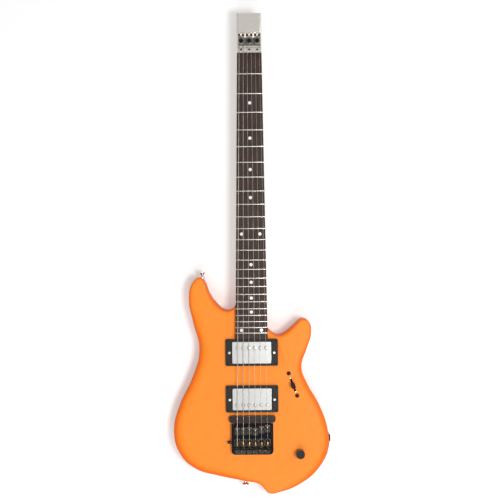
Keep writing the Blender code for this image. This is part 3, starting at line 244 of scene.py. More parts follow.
def addNode(tree, kind, inputs=None, **settings):
    node = tree.nodes.new(kind)
    for key, value in settings.items():
        setattr(node, key, value)
    for key, value in (inputs or {}).items():
        if isinstance(value, bpy.types.NodeSocket):
            tree.links.new(value, node.inputs[key])
        else:
            node.inputs[key].default_value = value
    return node


def remap(tree, value, span, result):
    inputs = {
        "Value": value, "From Min": span[0], "From Max": span[1], "To Min": result[0], "To Max": result[1],
    }
    return addNode(tree, "ShaderNodeMapRange", inputs).outputs[0]


def mixColours(tree, share, first, second):
    # sockets 0, 6 and 7 of the node are its factor and its two colours
    node = addNode(tree, "ShaderNodeMix", {0: share, 6: first, 7: second}, data_type="RGBA")
    return node.outputs[2]


plainLook = {"detail": 3.0, "metallic": 0.0, "specular": 0.5, "coat": 0.0, "coatRough": 0.1}
grainLook = {
    "noiseRough": 0.6, "colourSpan": (0.32, 0.68), "roughSpan": (0.3, 0.7),
    "waves": 3.18,  # bands that a wave texture draws in a metre at scale 1
}


def makeFinish(name, choices):
    # colour, roughness and fine relief all follow one grain, whose size is given in millimetres
    look = {**plainLook, **choices}
    material = bpy.data.materials.new(name)
    material.use_nodes = True
    tree = material.node_tree
    shader = tree.nodes["Principled BSDF"]
    coords = addNode(tree, "ShaderNodeTexCoord").outputs["Object"]
    scale = [1 / (size * mm) for size in look["grain"]]
    mapping = addNode(tree, "ShaderNodeMapping", {"Vector": coords, "Scale": scale})
    noise = addNode(tree, "ShaderNodeTexNoise", {
        "Vector": mapping.outputs[0], "Scale": 1.0, "Detail": look["detail"],
        "Roughness": grainLook["noiseRough"],
    }).outputs[0]
    spread = remap(tree, noise, grainLook["colourSpan"], (0, 1))
    colour = mixColours(tree, spread, linear(look["dark"]), linear(look["light"]))
    if "edge" in look:
        # painted light: where the surface turns away from the front the colour shifts to the edge tint, as
        # painted shade on the lacquer's rounded edges and as painted highlights on the black nickel's edges
        normal = addNode(tree, "ShaderNodeNewGeometry").outputs["Normal"]
        upward = addNode(tree, "ShaderNodeSeparateXYZ", {0: normal}).outputs[2]
        colour = mixColours(tree, remap(tree, upward, look["turned"], (1, 0)), colour, linear(look["edge"]))
    tree.links.new(colour, shader.inputs["Base Color"])
    tree.links.new(remap(tree, noise, grainLook["roughSpan"], look["rough"]), shader.inputs["Roughness"])
    height = noise
    if "winding" in look:
        # the wrap wire shows as even ridges along the string
        ridges = {"Vector": coords, "Scale": 1 / (look["winding"] * mm) / grainLook["waves"]}
        height = addNode(tree, "ShaderNodeTexWave", ridges, bands_direction="Y").outputs[0]
    bump = addNode(
        tree, "ShaderNodeBump",
        {"Height": height, "Strength": look["relief"], "Distance": look["depth"] * mm},
    )
    tree.links.new(bump.outputs[0], shader.inputs["Normal"])
    shader.inputs["Metallic"].default_value = look["metallic"]
    shader.inputs["Specular IOR Level"].default_value = look["specular"]
    shader.inputs["Coat Weight"].default_value = look["coat"]
    shader.inputs["Coat Roughness"].default_value = look["coatRough"]
    return material


finishes = {
    # satin polyurethane over primer: even colour, faint orange peel in its relief; the deeper orange where
    # its edges turn away from the top is painted shade
    "satinOrangeLacquer": {
        "dark": "#FB891C", "light": "#FC8E20", "edge": "#F8700E", "turned": (0.9, 0.9995),
        "grain": (14, 14, 14), "detail": 1.0, "rough": (0.5, 0.56), "relief": 0.05, "depth": 0.05,
        "specular": 0.3,
    },
    # oiled rosewood: dark, with open pores drawn out along the neck
    "oiledRosewood": {
        "dark": "#1F1614", "light": "#523F39", "grain": (0.55, 26, 0.8), "detail": 5.0, "specular": 0.2,
        "rough": (0.45, 0.65), "relief": 0.35, "depth": 0.08,
    },
    # satin maple: pale, long soft figure
    "satinMaple": {
        "dark": "#B98B53", "light": "#D6AE78", "grain": (2.2, 70, 2.6), "detail": 4.0,
        "rough": (0.38, 0.5), "relief": 0.1, "depth": 0.04, "coat": 0.1,
    },
    # satin nickel plate, linished across the head
    "linishedNickel": {
        "dark": "#E8E3DA", "light": "#F5F0E8", "grain": (9, 0.35, 1.0), "detail": 4.0,
        "rough": (0.16, 0.24), "relief": 0.12, "depth": 0.01, "metallic": 0.7,
    },
    # pickup covers: nickel silver brushed along the strings
    "brushedNickelSilver": {
        "dark": "#DCDCDA", "light": "#EAEAE8", "grain": (0.4, 12, 1.0), "detail": 4.0,
        "rough": (0.15, 0.23), "relief": 0.08, "depth": 0.01, "metallic": 0.6,
    },
    # fret wire: polished nickel silver, warm and bright against the wood
    "fretNickel": {
        "dark": "#C8C2B8", "light": "#E2DCD2", "grain": (3, 0.5, 1), "rough": (0.2, 0.3),
        "relief": 0.05, "depth": 0.01, "metallic": 1.0,
    },
    # bright chrome plate: a mirror with hardly any grain
    "brightChrome": {
        "dark": "#D5D5D8", "light": "#E4E4E6", "grain": (6, 6, 6), "rough": (0.06, 0.12),
        "relief": 0.02, "depth": 0.01, "metallic": 1.0,
    },
    # moulded ABS rings with a fine spark-eroded grain
    "mouldedAbs": {
        "dark": "#161516", "light": "#201F20", "grain": (0.5, 0.5, 0.5), "rough": (0.42, 0.56),
        "relief": 0.25, "depth": 0.03, "specular": 0.25,
    },
    # pickup bar: dark grey polycarbonate, softly glossy
    "smokePolycarbonate": {
        "dark": "#140E0C", "light": "#1D1513", "grain": (4, 4, 4), "rough": (0.2, 0.28),
        "relief": 0.04, "depth": 0.02, "coat": 0.1, "specular": 0.4,
    },
    # bridge parts: black nickel plate, glossy, with light handling marks, and painted highlights on the
    # edges that turn away from the top
    "blackNickel": {
        "dark": "#131213", "light": "#1F1D1E", "edge": "#E4DCD0", "turned": (0.45, 0.97),
        "grain": (2.5, 0.9, 2.5), "detail": 4.0, "rough": (0.16, 0.3), "relief": 0.06, "depth": 0.01,
        "metallic": 0.9,
    },
    # screws: steel with black oxide, matt and slightly brown
    "blackOxide": {
        "dark": "#120A07", "light": "#1E120D", "grain": (0.6, 0.6, 0.6), "rough": (0.4, 0.55),
        "relief": 0.1, "depth": 0.01, "metallic": 0.1, "specular": 0.2,
    },
    # knob: black anodised aluminium, turned, with a soft glint
    "blackAnodised": {
        "dark": "#1C1C1F", "light": "#2B2C2F", "grain": (0.5, 0.5, 4), "rough": (0.18, 0.28),
        "relief": 0.08, "depth": 0.01, "metallic": 0.6,
    },
    # brass ball ends: yellow spots behind the saddles
    "turnedBrass": {
        "dark": "#94713A", "light": "#D0AC6C", "grain": (1, 1, 1), "rough": (0.22, 0.34),
        "relief": 0.05, "depth": 0.01, "metallic": 1.0,
    },
    # brass rims round the pole screws, dark brown
    "brownBrass": {
        "dark": "#5E4224", "light": "#8E6C42", "grain": (0.8, 0.8, 0.8), "rough": (0.3, 0.42),
        "relief": 0.05, "depth": 0.01, "metallic": 0.8,
    },
    # contact points: warm pale nickel domes on the saddle tops
    "warmPaleNickel": {
        "dark": "#C9B48A", "light": "#E6DCC6", "grain": (0.8, 0.8, 0.8), "rough": (0.25, 0.35),
        "relief": 0.05, "depth": 0.01, "metallic": 1.0,
    },
    # polished nickel screw heads, nearly white under the lamps
    "polishedNickel": {
        "dark": "#D3C9B8", "light": "#EBE3D5", "grain": (0.8, 0.8, 0.8), "rough": (0.22, 0.32),
        "relief": 0.05, "depth": 0.01, "metallic": 0.6,
    },
    # clamp pads: grey nickel with a wide mottled tone, a painted reflection standing in for the dark
    # reflections in the plated pads
    "paintedReflectionNickel": {
        "dark": "#6E6C69", "light": "#ADAAA5", "grain": (1.8, 1.2, 1.8), "detail": 4.0,
        "rough": (0.22, 0.4), "relief": 0.1, "depth": 0.01, "metallic": 0.9,
    },
    # clamp floor: steel painted dark between the pads, painted shade for the gaps that the pads shade
    "paintedShadeSteel": {
        "dark": "#4A4846", "light": "#868380", "grain": (1.2, 1.2, 1.2), "rough": (0.4, 0.55),
        "relief": 0.1, "depth": 0.02, "metallic": 0.5,
    },
    # wound strings: nickel wrap, with ridges drawn 0.8 mm apart so that they show
    "nickelWrap": {
        "dark": "#A39B90", "light": "#CFC8BC", "grain": (1, 1, 1), "rough": (0.28, 0.38),
        "relief": 0.6, "depth": 0.08, "metallic": 1.0, "winding": 0.8,
    },
    # plain strings: tinned steel wire, bright and even
    "tinnedSteel": {
        "dark": "#C4C0B8", "light": "#D8D4CC", "grain": (1, 5, 1), "rough": (0.38, 0.46),
        "relief": 0.03, "depth": 0.01, "metallic": 1.0,
    },
    # inlays: white pearloid, faint swirl
    "whitePearloid": {
        "dark": "#E4E2DC", "light": "#FFFFFF", "grain": (1.6, 1.6, 1.6), "rough": (0.2, 0.3),
        "relief": 0.02, "depth": 0.01, "coat": 0.3,
    },
    # covers and plates: black moulded nylon, matt
    "blackNylon": {
        "dark": "#1C1C1D", "light": "#2A2A2C", "grain": (0.7, 0.7, 0.7), "rough": (0.45, 0.6),
        "relief": 0.2, "depth": 0.03,
    },
    # lever tip: dark red-brown phenolic
    "darkPhenolic": {
        "dark": "#200B06", "light": "#34130B", "grain": (2, 2, 2), "rough": (0.4, 0.5),
        "relief": 0.05, "depth": 0.02, "specular": 0.1,
    },
}
made = {name: makeFinish(name, choices) for name, choices in finishes.items()}
print("materials made:", len(made))


# Camera, at the photo's place straight over the strings

cameraPlace = {
    "spot": (-1.5, 305.8, 1954.0), "roll": -0.484, "lens": 78.97, "sensor": 36.0,
    "reach": 20,  # metres
}
bpy.ops.object.camera_add(
    location=Vector(cameraPlace["spot"]) * mm, rotation=(0, 0, math.radians(cameraPlace["roll"])),
)
camera = bpy.context.object
camera.data.lens = cameraPlace["lens"]
camera.data.sensor_width = cameraPlace["sensor"]
camera.data.clip_end = cameraPlace["reach"]
bpy.context.scene.camera = camera


# Body, neck and fingerboard: y runs from the scale's end at 0 towards the nut

dress("body", "satinOrangeLacquer", degrees=42)
dress("neck", "satinMaple")

board = {
    "end": 151.3, "nut": 647.4, "scale": 647.7, "halfEnd": 27.9, "halfNut": 21.4, "top": 53.5,
    "radius": 305.0, "bottom": 47.5, "across": 16, "along": 40, "edge": 0.35, "edgeAngle": 50,
}


def boardHalf(y):
    share = (y - board["end"]) / (board["scale"] - board["end"])
    return board["halfEnd"] + (board["halfNut"] - board["halfEnd"]) * share


def crown(x):
    # how far the cambered top has dropped at x
    return board["radius"] - math.sqrt(board["radius"] ** 2 - x * x)


def makeFingerboard():
    middle = (board["end"] + board["nut"]) / 2
    deselectAll()
    bpy.ops.mesh.primitive_grid_add(
        x_subdivisions=board["across"], y_subdivisions=board["along"], size=1, location=(0, 0, 0),
    )
    wood = bpy.context.object
    for vertex in wood.data.vertices:
        y = middle + vertex.co.y * (board["nut"] - board["end"])
        x = vertex.co.x * 2 * boardHalf(y)
        vertex.co = Vector((x, y, board["top"] - crown(x))) * mm
    editFaces(wood)
    extrude(z=-2 * (board["top"] - board["bottom"]))  # past the bottom, which is then levelled
    leaveEditing()
    for vertex in wood.data.vertices:
        vertex.co.z = max(vertex.co.z, board["bottom"] * mm)
    editFaces(wood)
    bpy.ops.mesh.normals_make_consistent(inside=False)
    leaveEditing()
    addBevel(wood, board["edge"], 2, board["edgeAngle"])
    applyModifiers(wood)
    finishPiece(wood, "rosewood_board", "oiledRosewood", replaced="fingerboard", degrees=30)


fretWire = {"count": 24, "radius": 1.15, "sunk": 0.15, "points": 11, "inset": 0.25}


def fretY(number):
    # twelve equal steps halve the string
    return board["scale"] * 2 ** (-number / 12)


def makeFrets():
    for number in range(1, fretWire["count"] + 1):
        y = fretY(number)
        half = boardHalf(y) - fretWire["inset"]
        points = []
        for k in range(fretWire["points"]):
            x = half * (2 * k / (fretWire["points"] - 1) - 1)
            points.append((x, y, board["top"] - crown(x) - fretWire["sunk"]))
        wire = tubeAlong(points, fretWire["radius"])
        finishPiece(wire, f"fret_{number}", "fretNickel", degrees=50)


inlays = {
    "single": (3, 5, 7, 9, 15, 17, 19, 21), "double": (12, 24), "radius": 2.9, "spread": 0.62,
    "proud": 0.05, "thick": 1.0, "sides": 40, "edge": 0.08,
}


def makeInlays():
    disc = addCylinder(inlays["sides"], inlays["radius"], inlays["thick"])
    addBevel(disc, inlays["edge"])
    applyModifiers(disc)
    disc = keepMesh(disc)
    for number in inlays["single"] + inlays["double"]:
        y = (fretY(number) + fretY(number - 1)) / 2
        reach = boardHalf(y) * inlays["spread"]
        places = {"middle": 0} if number in inlays["single"] else {"bass": -reach, "treble": reach}
        for side, x in places.items():
            z = board["top"] - crown(x) + inlays["proud"] - inlays["thick"] / 2
            dot = copyOf(disc, (x, y, z), (0, math.asin(x / board["radius"]), 0))
            finishPiece(dot, f"inlay_{number}_{side}", "whitePearloid")


makeFingerboard()
makeFrets()
makeInlays()
print("neck dressed")


# Small screws: pan heads turned from a cylinder, with a socket, a slot or a plain face

screws = {
    "ledge": {"radius": 1.75, "height": 0.35},
    "ring": {"radius": 1.5, "height": 0.5},
    "saddle": {"radius": 1.05, "height": 1.1},
    "selector": {"radius": 3.45, "height": 1.3},
    "cover": {"radius": 2.1, "height": 0.3, "drive": "plain"},
    "pole": {
        "radius": 2.4, "height": 0.3, "drive": "slot", "finish": "brushedNickelSilver",
        "slot": "pickup_nickel",
    },
    "height": {
        "radius": 2.2, "height": 0.9, "drive": "slot", "finish": "polishedNickel", "slot": "pickup_nickel",
    },
    "slotFrame": {"radius": 1.1, "height": 0.35, "finish": "polishedNickel", "slot": "control_metal"},
}
plainScrew = {"drive": "socket", "finish": "blackOxide", "slot": "black_screws"}
screwShares = {  # shares of the head's radius or height
    "shoulder": 0.22, "rise": 0.22, "face": 0.28, "socket": 0.6, "grooveMiddle": 1.22, "grooveLong": 2.4,
    "grooveWide": 0.3, "grooveDeep": 0.6,
}
screwSides = 32
grooveTurn = 35


@functools.cache
def screwHead(kind):
    # one head of each kind, with its underside at the origin
    screw = {**plainScrew, **screws[kind]}
    radius, height = screw["radius"], screw["height"]
    head = addCylinder(screwSides, radius, height, (0, 0, height / 2))
    editFaces(head, facesUp)
    inset(radius * screwShares["shoulder"])
    bpy.ops.transform.translate(value=(0, 0, height * screwShares["rise"] * mm))
    inset(radius * screwShares["face"])
    if screw["drive"] == "socket":
        extrude(z=-height * screwShares["socket"])
    leaveEditing()
    if screw["drive"] == "slot":
        groove = addCube()
        groove.location.z = height * screwShares["grooveMiddle"] * mm
        groove.rotation_euler.z = math.radians(grooveTurn)
        groove.scale = Vector((
            radius * screwShares["grooveLong"], radius * screwShares["grooveWide"],
            height * screwShares["grooveDeep"],
        )) * mm
        cutAway(head, [groove])
    return keepMesh(head)


def makeScrew(kind, name, spot, axis=(0, 0, 1)):
    screw = {**plainScrew, **screws[kind]}
    head = copyOf(screwHead(kind), spot, Vector(axis).to_track_quat("Z", "Y").to_euler())
    finishPiece(head, name, screw["finish"], degrees=30)


# Headpiece

dress("headpiece", "linishedNickel", bevel=0.25)
ledge = {"y": 653.2, "z": boxOf("headpiece")[1][2] + 0.02}
for k in (1, 2, 3):
    dress(f"clamp_pad_{k}", "paintedReflectionNickel", bevel=0.2)
    dress(f"clamp_screw_{k}", "blackOxide")
    low, high = boxOf(f"clamp_screw_{k}")
    makeScrew("ledge", f"ledge_screw_{k}", ((low[0] + high[0]) / 2, ledge["y"], ledge["z"]))

clamp = {
    "profile": ((682.3, 49.6), (682.3, 53.4), (680.2, 53.4), (674.8, 50.0), (674.8, 49.6)),
    "half": 18.8, "pitch": 7.0, "floor": 49.5, "holeY": 679.0, "holeZ": 52.0, "holeRadius": 1.95,
    "channelY": 674.0, "channelZ": 52.2, "channelRadius": 2.4, "cutLength": 10, "cutSides": 32,
    "cupRadius": 1.5, "cupDepth": 3.0, "cupWall": 0.2, "cupBase": 0.4, "cupProud": 0.2, "cupSides": 28,
    "rimRadius": 1.72, "rimWire": 0.2,
    "trayLow": (-18.6, 660.4, 49.52), "trayHigh": (18.6, 674.6, 49.76), "trayEdge": 0.06,
}


def stringX(k, pitch):
    # the strings, counted from 0 on the bass side, lie evenly about the middle
    return (k - (stringCount - 1) / 2) * pitch


def makeStringRamp():
    # the plate's scalloped front edge, which leads each string down into its hole
    deselectAll()
    bpy.ops.mesh.primitive_circle_add(
        vertices=len(clamp["profile"]), radius=1, fill_type="NGON", location=(0, 0, 0),
    )
    ramp = bpy.context.object
    for vertex, (y, z) in zip(ramp.data.vertices, clamp["profile"]):
        vertex.co = Vector((-clamp["half"], y, z)) * mm
    editFaces(ramp)
    extrude(x=2 * clamp["half"])
    bpy.ops.mesh.select_all(action="SELECT")
    bpy.ops.mesh.normals_make_consistent(inside=False)
    leaveEditing()
    cutters = []
    for k in range(stringCount):
        x = stringX(k, clamp["pitch"])
        hole = (clamp["holeRadius"], (x, clamp["holeY"], clamp["holeZ"]), (0, 0, 0))
        channel = (clamp["channelRadius"], (x, clamp["channelY"], clamp["channelZ"]), (math.pi / 2, 0, 0))
        for radius, spot, turn in (hole, channel):
            cutters.append(addCylinder(clamp["cutSides"], radius, clamp["cutLength"], spot, turn))
    cutAway(ramp, cutters)
    finishPiece(ramp, "string_ramp", "polishedNickel", degrees=30)


def makeStringCups():
    # painted shade: black cups and rims line the string holes, so that the holes read dark
    depth = clamp["cupDepth"]
    cup = addCylinder(
        clamp["cupSides"], clamp["cupRadius"], depth, (0, 0, clamp["floor"] + clamp["cupProud"] - depth / 2),
    )
    editFaces(cup, facesUp)
    inset(clamp["cupWall"])
    extrude(z=clamp["cupBase"] - depth)
    leaveEditing()
    cup = keepMesh(cup)
    rim = ringMesh(clamp["rimRadius"], clamp["rimWire"], clamp["cupSides"])
    for k in range(stringCount):
        x, y = stringX(k, clamp["pitch"]), clamp["holeY"]
        finishPiece(
            copyOf(cup, (x, y, 0)), f"string_cup_{k + 1}", "blackOxide", degrees=30,
        )
        finishPiece(
            copyOf(rim, (x, y, clamp["floor"] + clamp["rimWire"])), f"string_cup_rim_{k + 1}",
            "blackOxide", degrees=60,
        )


def makeClampTray():
    # a dark sheet on the floor between the clamp pads, painted shade in the gaps
    tray = addCube()
    low, high = Vector(clamp["trayLow"]) * mm, Vector(clamp["trayHigh"]) * mm
    tray.data.transform(Matrix.Translation((low + high) / 2) @ Matrix.Diagonal((*(high - low), 1)))
    addBevel(tray, clamp["trayEdge"])
    applyModifiers(tray)
    finishPiece(tray, "clamp_tray", "paintedShadeSteel", degrees=30)


makeStringRamp()
makeStringCups()
makeClampTray()
print("headpiece dressed")


# Pickups

pickups = {
    "neck": {"poleY": 136.2, "pitch": 10.0, "screwShift": -0.4},
    "bridge": {"poleY": 36.8, "pitch": 10.5, "screwShift": -1.3},
}
pickupSet = {
    "rimRadius": 2.85, "rimWire": 0.36, "rimSides": 32, "heightScrewX": 38.9, "ringScrewX": 42.0,
    "ringScrewY": 19.4,
}
poleRim = ringMesh(pickupSet["rimRadius"], pickupSet["rimWire"], pickupSet["rimSides"])
for label, place in pickups.items():
    dress(f"{label}_pickup_ring", "mouldedAbs")
    dress(f"{label}_pickup_cover", "brushedNickelSilver")
    ringLow, ringHigh = boxOf(f"{label}_pickup_ring")
    ringMiddle = (ringLow[1] + ringHigh[1]) / 2
    coverTop = boxOf(f"{label}_pickup_cover")[1][2]
    for k in range(stringCount):
        spot = (stringX(k, place["pitch"]), place["poleY"], coverTop)
        finishPiece(
            copyOf(poleRim, spot), f"{label}_pole_rim_{k + 1}", "brownBrass", degrees=60,
        )
        makeScrew("pole", f"{label}_pole_screw_{k + 1}", spot)
    for side, sideName, hand in ((-1, "low", "bass"), (1, "1", "treble")):
        makeScrew(
            "height", f"{label}_height_screw_{hand}",
            (side * pickupSet["heightScrewX"], ringMiddle + place["screwShift"], ringHigh[2]),
        )
        for end, endName in ((-1, "low"), (1, "1")):
            makeScrew(
                "ring", f"{label}_ring_screw_{sideName}_{endName}",
                (side * pickupSet["ringScrewX"], ringMiddle + end * pickupSet["ringScrewY"], ringHigh[2]),
            )
dress("hex_pickup", "smokePolycarbonate")
print("pickups dressed")


# Bridge, tuners and strings

dress("bridge_base", "blackNickel", bevel=0.3)
dress("bridge_side_screw", "blackOxide")

bridgeSet = {
    "pitch": 10.5, "setbacks": (6.0, 5.5, 4.8, 6.4, 3.2, 1.4), "saddleEdge": 0.4, "carriageEdge": 0.25,
    "screwX": 2.9, "screwBack": 3.4, "screwDown": 1.9,
}
wheelSet = {
    "flutes": 22, "flute": 0.93, "radius": 4.55, "front": -40.8, "rim": 0.7, "dish": 0.3,
    "studRadius": 1.45, "studSides": 28, "studOverlap": 0.4,
}
ballSet = {"y": -30.3, "down": 1.9, "radius": 1.75, "length": 5.8, "sides": 28, "edge": 0.5}
contactSet = {
    "radius": 1.5, "flatten": 0.6, "centreDown": 0.35, "baseDown": 0.75, "segments": 20, "rings": 10,
}


def pinchFlutes(obj, share):
    # every other pair of the cylinder's edges moves in, which leaves the grip fluted
    for index, vertex in enumerate(obj.data.vertices):
        if (index // 2) % 2:
            vertex.co.x *= share
            vertex.co.y *= share


def wheelMesh():
    # a fluted wheel, dished on both faces, with the stud that screws into the carriage
    # the tuners are all alike
    low, high = boxOf("tuner_1")
    front, back = wheelSet["front"], low[1]
    middleZ = (low[2] + high[2]) / 2
    lying = (math.pi / 2, 0, 0)
    wheel = addCylinder(
        wheelSet["flutes"] * 2, wheelSet["radius"], front - back, (0, (front + back) / 2, middleZ), lying,
    )
    pinchFlutes(wheel, wheelSet["flute"])
    editFaces(wheel, lambda face: abs(face.normal.z) > 0.9)
    inset(wheelSet["rim"], use_individual=True)
    bpy.ops.mesh.extrude_faces_move(TRANSFORM_OT_shrink_fatten={"value": -wheelSet["dish"] * mm})
    leaveEditing()
    studStart = front - wheelSet["studOverlap"]
    stud = addCylinder(
        wheelSet["studSides"], wheelSet["studRadius"], high[1] - studStart,
        (0, (high[1] + studStart) / 2, middleZ), lying,
    )
    makeActive(wheel)
    stud.select_set(True)
    bpy.ops.object.join()
    return keepMesh(wheel)


def ballMesh():
    # a turned brass ferrule, which the string's loop goes round
    ball = addCylinder(ballSet["sides"], ballSet["radius"], ballSet["length"], turn=(math.pi / 2, 0, 0))
    editFaces(ball)
    bpy.ops.mesh.bevel(offset=ballSet["edge"] * mm, segments=2, affect="EDGES", clamp_overlap=True)
    leaveEditing()
    return keepMesh(ball)


def contactMesh():
    # a low dome, cut flat where it sits in the saddle's top
    deselectAll()
    bpy.ops.mesh.primitive_uv_sphere_add(
        segments=contactSet["segments"], ring_count=contactSet["rings"], radius=contactSet["radius"] * mm,
        location=(0, 0, -contactSet["centreDown"] * mm),
    )
    dome = bpy.context.object
    dome.scale.z = contactSet["flatten"]
    settle(dome)
    editFaces(dome)
    bpy.ops.mesh.bisect(
        plane_co=(0, 0, -contactSet["baseDown"] * mm), plane_no=(0, 0, 1), use_fill=True, clear_inner=True,
    )
    leaveEditing()
    return keepMesh(dome)


strings = {
    "gauges": (1.17, 0.91, 0.66, 0.43, 0.33, 0.25), "wound": 3, "nutZ": 55.0, "saddleZ": 57.2,
    "deepZ": 46.5, "lift": 0.3, "bendY": 678.2, "padY": 662.1, "riseY": 655.5, "levelY": 651.0,
    "tailZ": 55.9, "steps": 24, "tailSteps": 8, "blendStart": 2.0, "blendEnd": -20.5,
}


def makeString(number):
    # out of its hole in the headpiece, under the clamp pad, over nut and saddle, down to the ball end
    radius = strings["gauges"][number - 1] / 2
    x, nutX = stringX(number - 1, bridgeSet["pitch"]), stringX(number - 1, clamp["pitch"])
    nutZ = strings["nutZ"] - crown(nutX)
    clampZ = clamp["floor"] + strings["lift"] + radius
    nut = Vector((nutX, board["scale"], nutZ))
    saddle = Vector((x, -bridgeSet["setbacks"][number - 1], strings["saddleZ"] - crown(x)))
    tail = Vector((x, boxOf(f"string_{number}")[0][1], strings["tailZ"]))
    route = [
        (nutX, clamp["holeY"], strings["deepZ"] + radius), (nutX, strings["bendY"], clampZ),
        (nutX, strings["padY"], clampZ), (nutX, strings["riseY"], nutZ), (nutX, strings["levelY"], nutZ),
    ]
    route += [nut.lerp(saddle, k / strings["steps"]) for k in range(strings["steps"] + 1)]
    route += [saddle.lerp(tail, k / strings["tailSteps"]) for k in range(1, strings["tailSteps"] + 1)]
    wire = tubeAlong(route, radius, 2)
    finish, slot = "tinnedSteel", "plain_string"
    if number <= strings["wound"]:
        finish, slot = "nickelWrap", "wound_string"
    # the wire rides on neither of its two bodies
    finishPiece(
        wire, f"string_wire_{number}", finish, body=None, replaced=f"string_{number}", degrees=60,
    )
    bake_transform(wire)


wheelShape, ballShape, contactShape = wheelMesh(), ballMesh(), contactMesh()
for number in range(1, stringCount + 1):
    x = stringX(number - 1, bridgeSet["pitch"])
    setback = bridgeSet["setbacks"][number - 1]
    carriage, tuner = f"carriage_{number}", f"tuner_{number}"
    dress(f"saddle_{number}", "blackNickel", bevel=bridgeSet["saddleEdge"])
    dress(carriage, "blackNickel", body=carriage, bevel=bridgeSet["carriageEdge"])
    finishPiece(
        copyOf(wheelShape, (x, 0, 0)), f"thumbwheel_{number}", "blackNickel",
        body=tuner, replaced=tuner, degrees=25,
    )
    makeString(number)
    finishPiece(
        copyOf(ballShape, (x, ballSet["y"], boxOf(carriage)[1][2] - ballSet["down"])), f"ball_end_{number}",
        "turnedBrass", body=carriage,
    )
    saddleTop = boxOf(f"saddle_{number}")[1][2]
    finishPiece(
        copyOf(contactShape, (x, -setback, saddleTop)), f"contact_point_{number}", "warmPaleNickel",
    )
    for side, hand in ((-1, "left"), (1, "right")):
        makeScrew("saddle", f"saddle_screw_{number}_{hand}", (
            x + side * bridgeSet["screwX"], -(setback + bridgeSet["screwBack"]),
            saddleTop - bridgeSet["screwDown"],
        ))
print("bridge dressed")


# Controls and sockets

knobSet = {
    "sides": 72, "radius": 7.55, "flute": 0.965, "base": 44.6, "rim": 0.5, "slope": 0.6, "dish": 0.5,
}


def makeKnob():
    low, high = boxOf("volume_knob")
    base = knobSet["base"]
    knob = addCylinder(
        knobSet["sides"], knobSet["radius"], high[2] - base,
        ((low[0] + high[0]) / 2, (low[1] + high[1]) / 2, (high[2] + base) / 2),
    )
    pinchFlutes(knob, knobSet["flute"])
    editFaces(knob, facesUp)
    inset(knobSet["rim"])
    inset(knobSet["slope"])
    bpy.ops.transform.translate(value=(0, 0, -knobSet["dish"] * mm))
    leaveEditing()
    finishPiece(
        knob, "fluted_knob", "blackAnodised", body="volume_knob",
        replaced="volume_knob", degrees=20,
    )


makeKnob()
dress("selector_lever", "darkPhenolic", body="selector_lever", bevel=0.5)

selectorSet = {
    "screws": ((64.1, 90.4), (78.5, 51.5)), "screwZ": 44.0, "centre": (71.4, 70.1), "lean": 20.3,
    "reach": 12.6, "frameZ": 43.9,
}
for k, (x, y) in enumerate(selectorSet["screws"], 1):
    makeScrew("selector", f"selector_screw_{k}", (x, y, selectorSet["screwZ"]))
for k, way in enumerate((-1, 1), 1):
    # the switch's bright frame shows at each end of the slot
    lean = math.radians(selectorSet["lean"])
    x = selectorSet["centre"][0] - way * selectorSet["reach"] * math.sin(lean)
    y = selectorSet["centre"][1] + way * selectorSet["reach"] * math.cos(lean)
    makeScrew("slotFrame", f"slot_frame_{k}", (x, y, selectorSet["frameZ"]))

dress("side_plate", "blackNylon", bevel=0.2)
dress("output_jack", "blackOxide")
dress("power_button", "blackNylon", body="power_button")
dress("rear_cover", "blackNylon")
for name in ("strap_button_upper", "strap_button_lower"):
    dress(name, "brightChrome")
for k in range(1, 5):
    dress(f"neck_screw_{k}", "brightChrome")

coverSet = {
    "screws": ((52.5, 99.5), (72.5, 99.0), (52.0, 18.0), (109.5, 35.0), (53.5, -74.0), (111.0, -64.0)),
    "z": 0.55,
}
for k, (x, y) in enumerate(coverSet["screws"], 1):
    makeScrew("cover", f"cover_screw_{k}", (x, y, coverSet["z"]), axis=(0, 0, -1))

inside = {
    "truss_rod": "fretNickel", "neck_pickup_coils": "blackNylon", "bridge_pickup_coils": "blackNylon",
    "selector_switch": "blackNylon", "volume_pot": "fretNickel", "circuit_board": "blackNylon",
    "battery": "mouldedAbs",
}
for node, finish in inside.items():
    nodes[node].data.materials.clear()
    nodes[node].data.materials.append(made[finish])
print("controls dressed")


# Floor and light, in metres

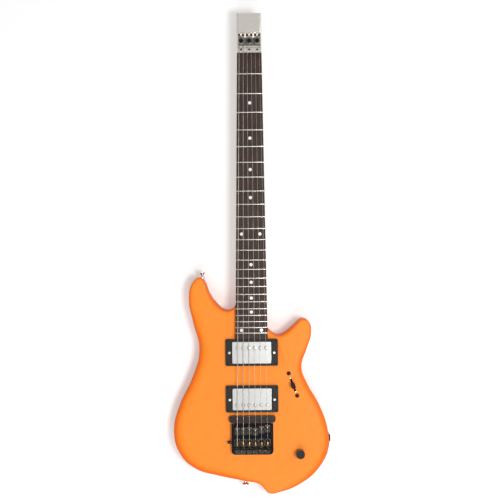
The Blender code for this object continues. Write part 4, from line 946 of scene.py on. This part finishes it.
studio = {
    "floorSize": 12, "floorPlace": (0, 0.3, -0.001), "paper": "#E6E6E6", "paperRough": 0.9,
    "paperGlow": 0.28, "worldLight": 0.46, "aim": (0, 0.25, 0.03),
}
white = (1, 1, 1, 1)


def makeFloor():
    deselectAll()
    bpy.ops.mesh.primitive_plane_add(size=studio["floorSize"], location=studio["floorPlace"])
    floor = bpy.context.object
    floor.name = "floor"
    paper = bpy.data.materials.new("whitePaper")
    paper.use_nodes = True
    tree = paper.node_tree
    shader = tree.nodes["Principled BSDF"]
    shader.inputs["Base Color"].default_value = linear(studio["paper"])
    shader.inputs["Roughness"].default_value = studio["paperRough"]
    shader.inputs["Specular IOR Level"].default_value = 0.0
    # the paper glows only to the camera and in reflections, so it lights nothing
    rays = addNode(tree, "ShaderNodeLightPath").outputs
    seen = addNode(
        tree, "ShaderNodeMath", {0: rays["Is Camera Ray"], 1: rays["Is Glossy Ray"]}, operation="MAXIMUM",
    )
    glow = addNode(
        tree, "ShaderNodeMath", {0: seen.outputs[0], 1: studio["paperGlow"]}, operation="MULTIPLY",
    )
    shader.inputs["Emission Color"].default_value = white
    tree.links.new(glow.outputs[0], shader.inputs["Emission Strength"])
    floor.data.materials.append(paper)


lamps = {
    "key": {"place": (0.62, 0.05, 2.1), "size": 0.5, "power": 23},
    "fill": {"place": (0.15, -1.1, 2.0), "size": 0.8, "power": 11},
    "sideStrip": {"place": (1.3, 0.72, 0.75), "size": 0.35, "power": 1.6},
}


def makeLight():
    world = bpy.data.worlds.new("studio")
    bpy.context.scene.world = world
    world.use_nodes = True
    sky = world.node_tree.nodes["Background"]
    sky.inputs["Color"].default_value = white
    sky.inputs["Strength"].default_value = studio["worldLight"]
    for name, lamp in lamps.items():
        bpy.ops.object.light_add(type="AREA", location=lamp["place"])
        light = bpy.context.object
        light.name = name
        light.data.size = lamp["size"]
        light.data.energy = lamp["power"]
        aim = Vector(studio["aim"]) - Vector(lamp["place"])
        light.rotation_euler = aim.to_track_quat("-Z", "Y").to_euler()
    bpy.context.scene.view_settings.view_transform = "Standard"


makeFloor()
makeLight()
print("stage set")
